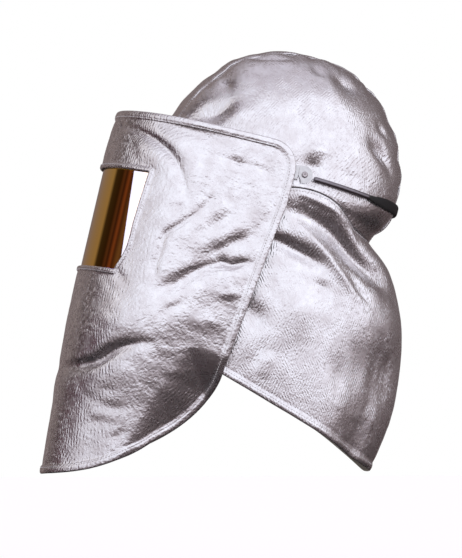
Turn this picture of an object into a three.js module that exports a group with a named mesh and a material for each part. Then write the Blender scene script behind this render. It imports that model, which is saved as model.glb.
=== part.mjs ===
// An aluminized hood for hot work, as it hangs when a helmet carries it.
// A cloth crown of three panels goes over the helmet, and a neck cape is sewn to its lower edge.
// A face mask of the same cloth, with a gold coated visor behind its window, hangs in front
// from a light metal bracket that grips the crown with two rods and a rubber band at the back.
// Millimetres, +Z up. The face looks along -Y and the wearer's left is +X.
// The origin is the inside of the crown's top, where the helmet carries the hood.

import * as THREE from "three";
import { mergeVertices } from "three/addons/utils/BufferGeometryUtils.js";

const { Vector2, Vector3, MathUtils } = THREE;
const { clamp, degToRad, lerp, smoothstep } = MathUtils;

// Cloth, hems and clearances
const CLOTH = 1.6;
const SEAM_GAP = 0.3;
const SEAM_DROP = 0.7;
const HEM_WIDTH = 9;
const HEM_RAISE = 0.8;
const HEM_STEP = 2;

// The crown, measured from the ear axis, a line along X through both ears
const CROWN_REACH = 160;
const CROWN_HALF = 113;
const CROWN_FULLNESS = 2.4;
const CROWN_FOLD = 7;
const GUSSET_HALF = 34;
const NAPE_ANGLE = 210;
const NAPE_SPREAD = 0.7;
const BROW_ANGLE = 4;

// The crown's outline from the side: the angle runs from the front rim over the top to the nape,
// and reach is a share of CROWN_REACH.
const CROWN_PROFILE = [
  { angle: 0, reach: 0.894 },
  { angle: 38, reach: 0.912 },
  { angle: 58, reach: 0.942 },
  { angle: 75, reach: 0.999 },
  { angle: 86, reach: 1.012 },
  { angle: 97, reach: 1.013 },
  { angle: 113, reach: 1.025 },
  { angle: 134, reach: 1.016 },
  { angle: 153, reach: 0.968 },
  { angle: 171, reach: 0.928 },
  { angle: 183, reach: 0.895 },
  { angle: 188, reach: 0.872 },
  { angle: 193, reach: 0.864 },
  { angle: 198, reach: 0.835 },
  { angle: 203, reach: 0.79 },
  { angle: 210, reach: 0.772 },
];

// The mask: a flat pattern, p across from the middle and q down from the top edge,
// bent round the face on an arc with straight sides.
const MASK_LENGTH = 423;
const MASK_HALF_TOP = 263;
const MASK_HALF_LOW = 234;
const MASK_SIDE_LENGTH = 269;
const MASK_CORNER = 35;
const MASK_ROUNDING = 1.7;
const MASK_TILT = 13.2;
const MASK_FOLD = 6;
const CURL_TOP = 258;
const CURL_SLOPE = 0.72;
const CURL_SOFT = 9;
const EAR_DEPTH = 210;
const EAR_BELOW_TOP = 31;

// The visor and its window
const WINDOW_TOP = 68;
const WINDOW_HEIGHT = 114;
const WINDOW_HALF_TOP = 101;
const WINDOW_HALF_LOW = 84;
const WINDOW_HEM = 6;
const VISOR = 1.8;
const VISOR_GAP = 0.6;
const FRAME_GAP = 0.5;
const VISOR_MARGIN_SIDE = 12;
const VISOR_MARGIN_TOP = 15;
const VISOR_MARGIN_LOW = 14;

// How far the mask's front line leans back, as a share of MASK_FOLD, down its length
const MASK_FRONT = [
  { down: 0, back: 0.5 },
  { down: 0.08, back: 0 },
  { down: 0.5, back: 0 },
  { down: 0.62, back: 0.2 },
  { down: 0.82, back: 1.05 },
  { down: 1, back: 1.8 },
];

// The cape: a U open to the front. Widths are shares of CROWN_HALF, distances front and back of
// the ear axis are shares of CROWN_REACH, and heights are shares of CAPE_DROP below the ear axis.
const CAPE_DROP = 321;
const CAPE_CORNER = 0.64;
const CAPE_SQUARENESS = 2.7;
const CAPE_FRONT_SHARE = 0.48;
const CAPE_TAPER = 0.17;
const CAPE_UNEVEN = 24;
const CAPE_FOLD = 12;
const CAPE_SECTIONS = [
  { half: 0.98, back: 0.82, front: 0.64, backDrop: 0.29, frontDrop: 0.14 },
  { half: 1.0, back: 0.903, front: 0.65, backDrop: 0.46, frontDrop: 0.26 },
  { half: 1.01, back: 0.877, front: 0.66, backDrop: 0.65, frontDrop: 0.38 },
  { half: 1.0, back: 0.81, front: 0.66, backDrop: 0.84, frontDrop: 0.5 },
  { half: 0.97, back: 0.68, front: 0.66, backDrop: 1, frontDrop: 0.6 },
];

// The bracket
const EAR_BACK = 14.7;
const EAR_RISE = 13.8;
const PLATE = 1.6;
const PLATE_HEIGHT = 20;
const PLATE_FORWARD = 14;
const PLATE_REAR = 9;
const FRAME = 1.5;
const FRAME_HEIGHT = 16;
const FRAME_DIP = 22;
const FRAME_END = 8;
const FRAME_CLEARANCE = 1.8;
const RIVET_RADIUS = 3.6;
const RIVET_HOLE = 2.3;
const RIVET_SHANK = 2;
const RIVET_HEAD = 1.4;
const ROD_RADIUS = 2.7;
const BAND_RISE = 11.8;
const BAND_TILT = 15.4;
const BAND_WIDTH = 12;
const BAND = 4.5;
const BAND_CLEARANCE = 1.2;
const BAND_END_ANGLE = 54;
const ROD_FRONT_ANGLE = 83;
const ROD_SETBACK_ANGLE = 0.3;

// Folds and dents: path holds three places on the sheet, heights the rise (or, below zero, the
// dent) at its start, middle and end as shares of the sheet's fold size, and width is a share of
// it too. On the crown a place is [angle / NAPE_ANGLE, side / 90 degrees].
const CROWN_FOLDS = [
  { path: [[0.17, 0.3], [0.2, 0.42], [0.24, 0.55]], heights: [-0.5, -0.9, 0], width: 1.6 },
  { path: [[0.37, 0.1], [0.39, 0.16], [0.42, 0.25]], heights: [0, -0.5, 0], width: 1.4 },
  { path: [[0.6, 0], [0.585, 0.16], [0.54, 0.3]], heights: [-0.75, -0.8, 0], width: 1.5 },
  { path: [[0.64, 0], [0.66, 0.1], [0.68, 0.2]], heights: [0.2, 0.1, 0], width: 1.8 },
  { path: [[0.68, 0.2], [0.75, 0.3], [0.84, 0.4]], heights: [0, -0.75, -0.3], width: 1.5 },
  { path: [[0.45, 0.86], [0.6, 0.85], [0.72, 0.78]], heights: [0, -0.6, 0], width: 1.3 },
];

// On the mask a place is [p / MASK_HALF_TOP, q / MASK_LENGTH].
const MASK_FOLDS = [
  { path: [[0.1, 0.04], [0.37, 0.02], [0.57, 0.18]], heights: [0, -0.65, 0], width: 1.3 },
  { path: [[0.2, 0.12], [0.34, 0.12], [0.45, 0.2]], heights: [0.1, 0.4, 0], width: 2.2 },
  { path: [[0.69, 0.16], [0.55, 0.26], [0.5, 0.42]], heights: [0, -0.8, 0], width: 1.5 },
  { path: [[0.94, 0.27], [0.74, 0.3], [0.57, 0.42]], heights: [0, -0.6, 0], width: 1.8 },
  { path: [[0.87, 0.34], [0.81, 0.345], [0.76, 0.35]], heights: [0, -0.9, 0], width: 1.3 },
  { path: [[0.8, 0.35], [0.66, 0.44], [0.46, 0.58]], heights: [-0.5, -0.7, 0], width: 1.6 },
  { path: [[0.86, 0.38], [0.8, 0.43], [0.74, 0.48]], heights: [0, 0.6, 0], width: 2.4 },
  { path: [[0.0, 0.69], [0.34, 0.67], [0.57, 0.585]], heights: [-0.2, -1.2, 0], width: 1.5 },
  { path: [[0.0, 0.735], [0.3, 0.72], [0.5, 0.66]], heights: [0.8, 0.8, 0], width: 2.4 },
];

// On the cape a place is [way round, way down]: round is 0 at the nape and 1 at the front edge.
const CAPE_FOLDS = [
  { path: [[0.64, 0.07], [0.5, 0.2], [0.3, 0.38]], heights: [-0.5, -0.7, 0], width: 1.2 },
  { path: [[0.66, 0.13], [0.52, 0.3], [0.36, 0.55]], heights: [0.3, 0.6, 0], width: 1.4 },
  { path: [[0.68, 0.2], [0.62, 0.3], [0.55, 0.38]], heights: [-0.4, -0.5, 0], width: 1.3 },
  { path: [[0.5, 0.45], [0.5, 0.56], [0.5, 0.68]], heights: [0, 0.4, 0], width: 2.6 },
  { path: [[0.78, 0.5], [0.75, 0.62], [0.72, 0.76]], heights: [0, -0.4, 0], width: 1.6 },
  { path: [[0.3, 0.62], [0.36, 0.8], [0.33, 1.0]], heights: [0, 0.2, 0.2], width: 1.6 },
];

// Grid steps of the faceted cloth
const ANGLE_STEPS = 30;
const GUSSET_STEPS = 2;
const SIDE_STEPS = 9;
const CAPE_FRONT_STEPS = 6;
const CAPE_ROWS = 15;
const WINDOW_STEPS = 5;
const WING_STEPS = 8;
const APRON_STEPS = 8;
const FOLD_POINTS = 10;
const NUDGE = 1e-3;

const silver = new THREE.MeshStandardMaterial({ color: 0xd9d7dc, roughness: 0.42, metalness: 0.9 });
const gold = new THREE.MeshStandardMaterial({ color: 0xc39a3a, roughness: 0.08, metalness: 0.9 });
const aluminium = new THREE.MeshStandardMaterial({ color: 0xd5d5da, roughness: 0.35, metalness: 1 });
const steel = new THREE.MeshStandardMaterial({ color: 0x5a5a60, roughness: 0.4, metalness: 0.8 });
const rubber = new THREE.MeshStandardMaterial({ color: 0x0c0c0d, roughness: 0.7, metalness: 0 });

// Smooth value of a table column between its rows
function tableValue(rows, key, column, at) {
  const last = rows.length - 1;
  if (at <= rows[0][key]) return rows[0][column];
  if (at >= rows[last][key]) return rows[last][column];
  const i = rows.findIndex((row) => row[key] > at) - 1;
  const slope = (a, b) => (rows[b][column] - rows[a][column]) / (rows[b][key] - rows[a][key]);
  const span = rows[i + 1][key] - rows[i][key];
  const here = slope(i, i + 1);
  const before = i > 0 ? (slope(i - 1, i) + here) / 2 : here;
  const after = i + 1 < last ? (here + slope(i + 1, i + 2)) / 2 : here;
  const t = (at - rows[i][key]) / span;
  const t2 = t * t;
  const t3 = t2 * t;
  return (
    (2 * t3 - 3 * t2 + 1) * rows[i][column] +
    (t3 - 2 * t2 + t) * span * before +
    (3 * t2 - 2 * t3) * rows[i + 1][column] +
    (t3 - t2) * span * after
  );
}

// A signed power, for the quarter of a superellipse
function power(base, exponent) {
  return Math.sign(base) * Math.abs(base) ** exponent;
}

// The unit normal of a surface given by two parameters
function normalOf(surface, a, b) {
  const alongA = surface(a + NUDGE, b).sub(surface(a - NUDGE, b));
  const alongB = surface(a, b + NUDGE).sub(surface(a, b - NUDGE));
  return alongB.cross(alongA).normalize();
}

// Prepares folds: each path becomes a chain of points on the plain surface
function layFolds(folds, plain, foldSize) {
  return folds.map(({ path, heights, width }) => {
    const [start, middle, end] = path.map(([a, b]) => new Vector2(a, b));
    const curve = new THREE.QuadraticBezierCurve(start, middle, end);
    const points = curve.getPoints(FOLD_POINTS).map(({ x, y }) => plain(x, y));
    const [from, peak, to] = heights.map((share) => share * foldSize);
    return { points, from, peak, to, width: width * foldSize };
  });
}

// How far the folds lift the sheet at a point of its plain surface
function foldLift(laid, point) {
  const segment = new THREE.Line3();
  const foot = new Vector3();
  let lift = 0;
  for (const { points, from, peak, to, width } of laid) {
    let nearest = Infinity;
    let along = 0;
    for (let i = 0; i + 1 < points.length; i++) {
      segment.set(points[i], points[i + 1]);
      const t = segment.closestPointToPointParameter(point, true);
      const distance = segment.at(t, foot).distanceTo(point);
      if (distance < nearest) {
        nearest = distance;
        along = (i + t) / (points.length - 1);
      }
    }
    const rise = along < 0.5
      ? lerp(from, peak, smoothstep(along, 0, 0.5))
      : lerp(peak, to, smoothstep(along, 0.5, 1));
    lift += rise * Math.exp(-((nearest / width) ** 2));
  }
  return lift;
}

// A closed wall from a grid of places. wallAt gives the outer and inner point of each place.
// Seen from outside, columns run to the right and rows run down. Cut cells are left open.
function wall(columns, rows, wallAt, isCut = () => false) {
  const grid = [];
  for (let j = 0; j <= rows; j++) {
    grid.push([]);
    for (let i = 0; i <= columns; i++) grid[j].push(wallAt(i, j));
  }
  const isKept = (i, j) => i >= 0 && j >= 0 && i < columns && j < rows && !isCut(i, j);
  const corners = [];
  const triangle = (a, b, c) => {
    const area = new Vector3().subVectors(b, a).cross(new Vector3().subVectors(c, a)).length();
    if (area > 1e-7) corners.push(...a.toArray(), ...b.toArray(), ...c.toArray());
  };
  const quad = (a, b, c, d) => {
    triangle(a, b, c);
    triangle(a, c, d);
  };
  const edge = (a, b) => quad(a.outer, a.inner, b.inner, b.outer);
  for (let j = 0; j < rows; j++) {
    for (let i = 0; i < columns; i++) {
      if (!isKept(i, j)) continue;
      const [a, b] = [grid[j][i], grid[j][i + 1]];
      const [d, c] = [grid[j + 1][i], grid[j + 1][i + 1]];
      quad(a.outer, d.outer, c.outer, b.outer);
      quad(a.inner, b.inner, c.inner, d.inner);
      if (!isKept(i, j - 1)) edge(b, a);
      if (!isKept(i - 1, j)) edge(a, d);
      if (!isKept(i, j + 1)) edge(d, c);
      if (!isKept(i + 1, j)) edge(c, b);
    }
  }
  const geometry = new THREE.BufferGeometry();
  geometry.setAttribute("position", new THREE.Float32BufferAttribute(corners, 3));
  return mergeVertices(geometry, 1e-4);
}

// The same geometry on the other side of the middle plane
function mirrored(geometry) {
  const flipped = geometry.clone();
  const position = flipped.getAttribute("position");
  for (let i = 0; i < position.count; i++) position.setX(i, -position.getX(i));
  const index = flipped.getIndex();
  for (let i = 0; i < index.count; i += 3) {
    const first = index.getX(i);
    index.setX(i, index.getX(i + 1));
    index.setX(i + 1, first);
  }
  return flipped;
}

// The crown

// A place on the plain crown: angle in degrees round the ear axis, side in degrees from the
// middle plane (0) to the ear (90)
function plainCrown(angle, side) {
  const exponent = 2 / CROWN_FULLNESS;
  const reach = CROWN_REACH * tableValue(CROWN_PROFILE, "angle", "reach", angle);
  const share = power(Math.cos(degToRad(side)), exponent);
  const turn = degToRad(angle);
  return new Vector3(
    CROWN_HALF * power(Math.sin(degToRad(side)), exponent),
    -reach * share * Math.cos(turn),
    reach * share * Math.sin(turn),
  );
}

const crownFolds = layFolds(
  CROWN_FOLDS,
  (round, side) => plainCrown(round * NAPE_ANGLE, side * 90),
  CROWN_FOLD,
);

function crownNormal(angle, side) {
  const isAtEar = Math.abs(side) > 89.9;
  return isAtEar ? new Vector3(Math.sign(side), 0, 0) : normalOf(plainCrown, angle, side);
}

function crownOuter(angle, side) {
  const point = plainCrown(angle, side);
  const mirrorPoint = new Vector3(Math.abs(point.x), point.y, point.z);
  return point.addScaledVector(crownNormal(angle, side), foldLift(crownFolds, mirrorPoint));
}

function crownWall(angle, side) {
  const outer = crownOuter(angle, side);
  const inner = outer.clone().addScaledVector(crownNormal(angle, side), -CLOTH);
  return { outer, inner };
}

// The angles where the crown's lower edge lies, in front of the ear and behind it
function browAngle(side) {
  return BROW_ANGLE * Math.cos(degToRad(side));
}

function napeAngle(side) {
  const share = Math.cos(degToRad(side)) ** (2 / CROWN_FULLNESS);
  return 180 + (NAPE_ANGLE - 180) * Math.min(1, share / NAPE_SPREAD);
}

function sideAt(x) {
  const exponent = CROWN_FULLNESS / 2;
  return MathUtils.radToDeg(Math.asin(power(x / CROWN_HALF, exponent)));
}

const seamSide = sideAt(GUSSET_HALF);

function crownGusset() {
  const edge = sideAt(GUSSET_HALF - SEAM_GAP / 2);
  return wall(2 * GUSSET_STEPS, ANGLE_STEPS, (i, j) => {
    const side = edge * (i / GUSSET_STEPS - 1);
    const angle = lerp(napeAngle(side), browAngle(side), j / ANGLE_STEPS);
    return crownWall(angle, side);
  });
}

function crownSidePanel() {
  const top = sideAt(GUSSET_HALF + SEAM_GAP / 2);
  return wall(ANGLE_STEPS, SIDE_STEPS, (i, j) => {
    const side = lerp(top, 90, j / SIDE_STEPS);
    const angle = lerp(browAngle(side), napeAngle(side), i / ANGLE_STEPS);
    return crownWall(angle, side);
  });
}

// The cape

// The crown's lower edge: round is 0 at the nape, CAPE_CORNER at the ear and 1 in front of it
function crownEdge(round) {
  const way = Math.abs(round);
  const sign = round < 0 ? -1 : 1;
  if (way <= CAPE_CORNER) {
    const side = (90 * way) / CAPE_CORNER;
    return crownWall(napeAngle(side), sign * side);
  }
  const forward = (way - CAPE_CORNER) / (1 - CAPE_CORNER);
  const side = 90 * (1 - forward * CAPE_FRONT_SHARE);
  return crownWall(browAngle(side), sign * side);
}

function capeSection({ half, back, front, backDrop, frontDrop }, round) {
  const way = Math.abs(round);
  const sign = round < 0 ? -1 : 1;
  const exponent = 2 / CAPE_SQUARENESS;
  const turn = degToRad(90 * Math.min(1, way / CAPE_CORNER));
  const forward = Math.max(0, (way - CAPE_CORNER) / (1 - CAPE_CORNER));
  const y = CROWN_REACH * (back * power(Math.cos(turn), exponent) - front * forward);
  const backShare = (y / CROWN_REACH + front) / (back + front);
  const taper = 1 - CAPE_TAPER * forward ** 1.5;
  const x = sign * half * taper * power(Math.sin(turn), exponent);
  const hitch = CAPE_UNEVEN * backDrop * smoothstep(-x, 0, 1);
  return new Vector3(CROWN_HALF * x, y, hitch - CAPE_DROP * lerp(frontDrop, backDrop, backShare));
}

// The plain cape: down is 0 at the seam and 1 at the hem
function plainCape(round, down) {
  const seam = crownEdge(round).outer.add(new Vector3(0, 0, -SEAM_DROP));
  const stops = [seam, ...CAPE_SECTIONS.map((section) => capeSection(section, round))];
  const at = clamp(down, 0, 1) * (stops.length - 1);
  const i = Math.min(Math.floor(at), stops.length - 2);
  const t = at - i;
  const column = (axis) => {
    const rows = stops.map((stop, place) => ({ place, value: stop[axis] }));
    return tableValue(rows, "place", "value", i + t);
  };
  return new Vector3(column("x"), column("y"), column("z"));
}

const capeFolds = layFolds(CAPE_FOLDS, plainCape, CAPE_FOLD);

function capeNormal(round, down) {
  const inside = clamp(down, NUDGE, 1 - NUDGE);
  return normalOf((low, way) => plainCape(way, low), inside, round);
}

function capeOuter(round, down) {
  const point = plainCape(round, down);
  const lift = foldLift(capeFolds, plainCape(Math.abs(round), down)) * smoothstep(down, 0, 0.12);
  return point.addScaledVector(capeNormal(round, down), lift);
}

// The columns of the cape follow the rows of the crown's panels, so that the seam closes
function capeColumns() {
  const sides = [];
  for (let k = 0; k < GUSSET_STEPS; k++) sides.push((seamSide * k) / GUSSET_STEPS);
  for (let k = 0; k <= SIDE_STEPS; k++) sides.push(lerp(seamSide, 90, k / SIDE_STEPS));
  const rounds = sides.map((side) => (CAPE_CORNER * side) / 90);
  for (let k = 1; k <= CAPE_FRONT_STEPS; k++) {
    rounds.push(lerp(CAPE_CORNER, 1, k / CAPE_FRONT_STEPS));
  }
  const left = rounds.slice(1).reverse().map((round) => -round);
  return [...left, ...rounds].reverse();
}

function cape() {
  const rounds = capeColumns();
  const hem = HEM_WIDTH / CAPE_DROP;
  const step = HEM_STEP / CAPE_DROP;
  const downs = [];
  for (let j = 0; j <= CAPE_ROWS; j++) downs.push(((1 - hem - step) * j) / CAPE_ROWS);
  downs.push(1 - hem, 1);
  return wall(rounds.length - 1, downs.length - 1, (i, j) => {
    if (j === 0) {
      const { outer, inner } = crownEdge(rounds[i]);
      const drop = new Vector3(0, 0, -SEAM_DROP);
      return { outer: outer.add(drop), inner: inner.add(drop) };
    }
    const normal = capeNormal(rounds[i], downs[j]);
    const outer = capeOuter(rounds[i], downs[j]);
    const inner = outer.clone().addScaledVector(normal, -CLOTH);
    const isHem = j >= downs.length - 2;
    return { outer: isHem ? outer.addScaledVector(normal, HEM_RAISE) : outer, inner };
  });
}

// The mask, in the frame of the bracket's ears: x to the side, y back, z up along the visor

const visorInset = CLOTH + VISOR_GAP;
const frameInset = visorInset + VISOR + FRAME_GAP;
const maskRadius = CROWN_HALF;
const earHalf = CROWN_HALF + SEAM_GAP + PLATE + FRAME_CLEARANCE + FRAME + frameInset;
const sideDepth = EAR_DEPTH - maskRadius;
const flare = Math.acos(maskRadius / Math.hypot(earHalf, sideDepth)) - Math.atan2(sideDepth, earHalf);
const sideHeading = Math.PI / 2 - flare;
const bendLength = maskRadius * sideHeading;
const earWay = bendLength + (sideDepth + maskRadius * Math.cos(sideHeading)) / Math.sin(sideHeading);

// The mask's section: the place and heading at a distance p from the front line, and its outward
// direction there
function maskSection(p, inset = 0) {
  const way = Math.abs(p);
  const heading = Math.min(way / maskRadius, sideHeading);
  const straight = Math.max(0, way - bendLength);
  const outward = new Vector2(Math.sin(heading), -Math.cos(heading));
  const x = maskRadius * Math.sin(heading) + straight * Math.cos(heading) - inset * outward.x;
  const y = maskRadius * (1 - Math.cos(heading)) + straight * Math.sin(heading) - inset * outward.y;
  const sign = p < 0 ? -1 : 1;
  return { x: sign * x, y, outward: new Vector3(sign * outward.x, outward.y, 0) };
}

function plainMask(p, q) {
  const { x, y } = maskSection(p);
  const lean = MASK_FOLD * tableValue(MASK_FRONT, "down", "back", q / MASK_LENGTH);
  return new Vector3(x, y - EAR_DEPTH + lean, EAR_BELOW_TOP - q);
}

const maskFolds = layFolds(
  MASK_FOLDS,
  (across, down) => plainMask(across * MASK_HALF_TOP, down * MASK_LENGTH),
  MASK_FOLD,
);

// The lower rear of the mask turns in towards the neck, beyond a slanting line
const CURL_FROM = new Vector2(0.76, 0.62);
const CURL_TO = new Vector2(0.593, 0.81);

function curlDepth(p, q) {
  const from = new Vector2(CURL_FROM.x * MASK_HALF_TOP, CURL_FROM.y * MASK_LENGTH);
  const to = new Vector2(CURL_TO.x * MASK_HALF_TOP, CURL_TO.y * MASK_LENGTH);
  const line = to.sub(from).normalize();
  const beyond = (Math.abs(p) - from.x) * line.y - (q - from.y) * line.x;
  const reach = Math.min(beyond, q - CURL_TOP);
  return reach > 0 ? CURL_SLOPE * (Math.hypot(reach, CURL_SOFT) - CURL_SOFT) : 0;
}

function maskOuter(p, q) {
  const { outward } = maskSection(p);
  const point = plainMask(p, q);
  const mirrorPoint = new Vector3(Math.abs(point.x), point.y, point.z);
  const lift = foldLift(maskFolds, mirrorPoint) - curlDepth(p, q);
  return point.addScaledVector(outward, lift);
}

// The mask's flat outline
function maskHalf(q) {
  if (q < MASK_CORNER) {
    const rise = MASK_CORNER - q;
    return MASK_HALF_TOP - MASK_CORNER + Math.sqrt(MASK_CORNER ** 2 - rise ** 2);
  }
  const down = clamp((q - 2 * MASK_CORNER) / (MASK_SIDE_LENGTH - 2 * MASK_CORNER), 0, 1);
  return lerp(MASK_HALF_TOP, MASK_HALF_LOW, down);
}

function maskHem(turn) {
  const exponent = 2 / MASK_ROUNDING;
  const drop = MASK_LENGTH - MASK_SIDE_LENGTH;
  return new Vector2(
    MASK_HALF_LOW * power(Math.sin(turn), exponent),
    MASK_SIDE_LENGTH + drop * power(Math.cos(turn), exponent),
  );
}

function windowHalf(q) {
  const down = clamp((q - WINDOW_TOP) / WINDOW_HEIGHT, 0, 1);
  return lerp(WINDOW_HALF_TOP, WINDOW_HALF_LOW, down);
}

// Distances p of the mask's columns at a height q, from the front line to the rear edge
function maskColumns(q) {
  const half = maskHalf(q);
  const window = windowHalf(q);
  const wingStart = window + WINDOW_HEM + HEM_STEP;
  const wingEnd = half - HEM_WIDTH - HEM_STEP;
  const columns = [];
  for (let k = 0; k <= WINDOW_STEPS; k++) columns.push((window * k) / WINDOW_STEPS);
  columns.push(window + WINDOW_HEM);
  for (let k = 0; k <= WING_STEPS; k++) columns.push(lerp(wingStart, wingEnd, k / WING_STEPS));
  columns.push(half - HEM_WIDTH, half);
  return columns;
}

function maskPattern() {
  const windowLow = WINDOW_TOP + WINDOW_HEIGHT;
  const top = [0, 3, HEM_WIDTH, HEM_WIDTH + HEM_STEP, MASK_CORNER * 0.6, MASK_CORNER];
  const brow = WINDOW_TOP - WINDOW_HEM - HEM_STEP;
  const heights = [...top, (MASK_CORNER + brow) / 2, brow, WINDOW_TOP - WINDOW_HEM];
  const firstWindowRow = heights.length;
  for (let k = 0; k <= WINDOW_STEPS; k++) {
    heights.push(WINDOW_TOP + (WINDOW_HEIGHT * k) / WINDOW_STEPS);
  }
  const lastWindowRow = heights.length - 1;
  heights.push(windowLow + WINDOW_HEM, windowLow + WINDOW_HEM + HEM_STEP);
  const upper = heights.map((q) => maskColumns(q).map((p) => new Vector2(p, q)));
  const lowest = upper[upper.length - 1];
  const hem = lowest.map((place) => maskHem((Math.PI / 2) * (place.x / lowest.at(-1).x)));
  const apron = [];
  for (let k = 1; k <= APRON_STEPS; k++) {
    apron.push(lowest.map((place, i) => {
      const way = hem[i].distanceTo(place);
      const share = 1 - (HEM_WIDTH + HEM_STEP) / way;
      return place.clone().lerp(hem[i], (share * k) / APRON_STEPS);
    }));
  }
  const hemTop = lowest.map((place, i) => {
    return place.clone().lerp(hem[i], 1 - HEM_WIDTH / hem[i].distanceTo(place));
  });
  const places = [...upper, ...apron, hemTop, hem];
  return { places, firstWindowRow, lastWindowRow };
}

function mask() {
  const { places, firstWindowRow, lastWindowRow } = maskPattern();
  const half = places[0].length - 1;
  const lastRow = places.length - 1;
  const isWindowColumn = (k) => k >= WINDOW_STEPS && k <= WINDOW_STEPS + 1;
  const isRaised = (k, j) => {
    const isOuterHem = k >= half - 1 || j <= 2 || j >= lastRow - 1;
    const isBesideWindow = isWindowColumn(k) && j >= firstWindowRow - 1 && j <= lastWindowRow + 1;
    const isOverWindow = k <= WINDOW_STEPS + 1 &&
      (j === firstWindowRow - 1 || j === firstWindowRow ||
        j === lastWindowRow || j === lastWindowRow + 1);
    return isOuterHem || isBesideWindow || isOverWindow;
  };
  const isCut = (i, j) => {
    const isColumn = i >= half - WINDOW_STEPS && i < half + WINDOW_STEPS;
    return isColumn && j >= firstWindowRow && j < lastWindowRow;
  };
  return wall(2 * half, lastRow, (i, j) => {
    const k = Math.abs(i - half);
    const { x, y: q } = places[j][k];
    const p = i < half ? -x : x;
    const { outward } = maskSection(p);
    const outer = maskOuter(p, q);
    const inner = outer.clone().addScaledVector(outward, -CLOTH);
    return { outer: isRaised(k, j) ? outer.addScaledVector(outward, HEM_RAISE) : outer, inner };
  }, isCut);
}

// A strip that follows the mask's section at a given inset. edgesAt gives the heights q of its
// upper and lower edge at a distance p.
function liner(halfLength, edgesAt, inset, thickness, columns, rows) {
  return wall(columns, rows, (i, j) => {
    const p = halfLength * ((2 * i) / columns - 1);
    const [fromQ, toQ] = edgesAt(Math.abs(p));
    const z = EAR_BELOW_TOP - lerp(fromQ, toQ, j / rows);
    const outer = maskSection(p, inset);
    const inner = maskSection(p, inset + thickness);
    return {
      outer: new Vector3(outer.x, outer.y - EAR_DEPTH, z),
      inner: new Vector3(inner.x, inner.y - EAR_DEPTH, z),
    };
  });
}

function visor() {
  const half = WINDOW_HALF_TOP + VISOR_MARGIN_SIDE;
  const top = WINDOW_TOP - VISOR_MARGIN_TOP;
  const low = WINDOW_TOP + WINDOW_HEIGHT + VISOR_MARGIN_LOW;
  return liner(half, () => [top, low], visorInset, VISOR, 24, 4);
}

// The frame runs from ear to ear and dips in front, where it carries the visor's upper edge
function visorFrame() {
  const half = earWay - FRAME_END;
  const edges = (p) => {
    const middle = EAR_BELOW_TOP + FRAME_DIP * (1 - smoothstep(p, WINDOW_HALF_TOP, bendLength));
    return [middle - FRAME_HEIGHT / 2, middle + FRAME_HEIGHT / 2];
  };
  return liner(half, edges, frameInset, FRAME, 36, 1);
}

// The bracket's ear plate, its rivet, the rods and the band

function earPlate() {
  const half = PLATE_HEIGHT / 2;
  const shape = new THREE.Shape();
  shape.moveTo(-PLATE_FORWARD, -half * 0.8);
  shape.absarc(PLATE_REAR - half, 0, half, -Math.PI / 2, Math.PI / 2, false);
  shape.lineTo(-PLATE_FORWARD, half * 0.8);
  shape.closePath();
  const hole = new THREE.Path();
  hole.absarc(0, 0, RIVET_HOLE, 0, 2 * Math.PI, true);
  shape.holes.push(hole);
  const geometry = new THREE.ExtrudeGeometry(shape, {
    depth: PLATE,
    bevelEnabled: false,
    curveSegments: 10,
  });
  return standing(geometry);
}

// Stands a geometry drawn in the XY plane up, so that its x runs back and its z runs outward
function standing(geometry) {
  geometry.rotateX(Math.PI / 2);
  geometry.rotateZ(Math.PI / 2);
  return geometry;
}

function rivet() {
  const profile = [
    new Vector2(0, -PLATE),
    new Vector2(RIVET_SHANK, -PLATE),
    new Vector2(RIVET_SHANK, SEAM_GAP),
    new Vector2(RIVET_RADIUS, SEAM_GAP),
    new Vector2(RIVET_RADIUS, SEAM_GAP + RIVET_HEAD * 0.5),
    new Vector2(RIVET_RADIUS * 0.7, SEAM_GAP + RIVET_HEAD),
    new Vector2(RIVET_RADIUS * 0.35, SEAM_GAP + RIVET_HEAD),
    new Vector2(0, SEAM_GAP + RIVET_HEAD * 0.6),
  ];
  const geometry = new THREE.LatheGeometry(profile, 16);
  geometry.rotateZ(-Math.PI / 2);
  return geometry;
}

// Where the crown's surface meets the plane of the rods and the band, at a given side
function bandPlace(side) {
  const slope = Math.tan(degToRad(BAND_TILT));
  const height = (angle) => {
    const point = plainCrown(angle, side);
    return point.z - BAND_RISE + slope * (point.y - EAR_BACK);
  };
  let above = 100;
  let below = NAPE_ANGLE;
  for (let k = 0; k < 40; k++) {
    const middle = (above + below) / 2;
    if (height(middle) > 0) above = middle;
    else below = middle;
  }
  return above;
}

function bandPoint(side, lift) {
  const angle = bandPlace(Math.abs(side));
  const point = plainCrown(angle, Math.abs(side));
  point.addScaledVector(crownNormal(angle, Math.abs(side)), lift);
  if (side < 0) point.x = -point.x;
  return point;
}

function rearBand() {
  const acrossRows = 4;
  const columns = 28;
  const up = new Vector3(0, Math.sin(degToRad(BAND_TILT)), Math.cos(degToRad(BAND_TILT)));
  return wall(columns, acrossRows, (i, j) => {
    const side = BAND_END_ANGLE * (1 - (2 * i) / columns);
    const across = 1 - (2 * j) / acrossRows;
    const thickness = BAND * (0.35 + 0.65 * Math.sqrt(1 - across ** 2 * 0.96));
    const height = (BAND_WIDTH / 2) * across;
    const rise = up.clone().multiplyScalar(height);
    return {
      outer: bandPoint(side, BAND_CLEARANCE + thickness).add(rise),
      inner: bandPoint(side, BAND_CLEARANCE).add(rise),
    };
  });
}

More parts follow.
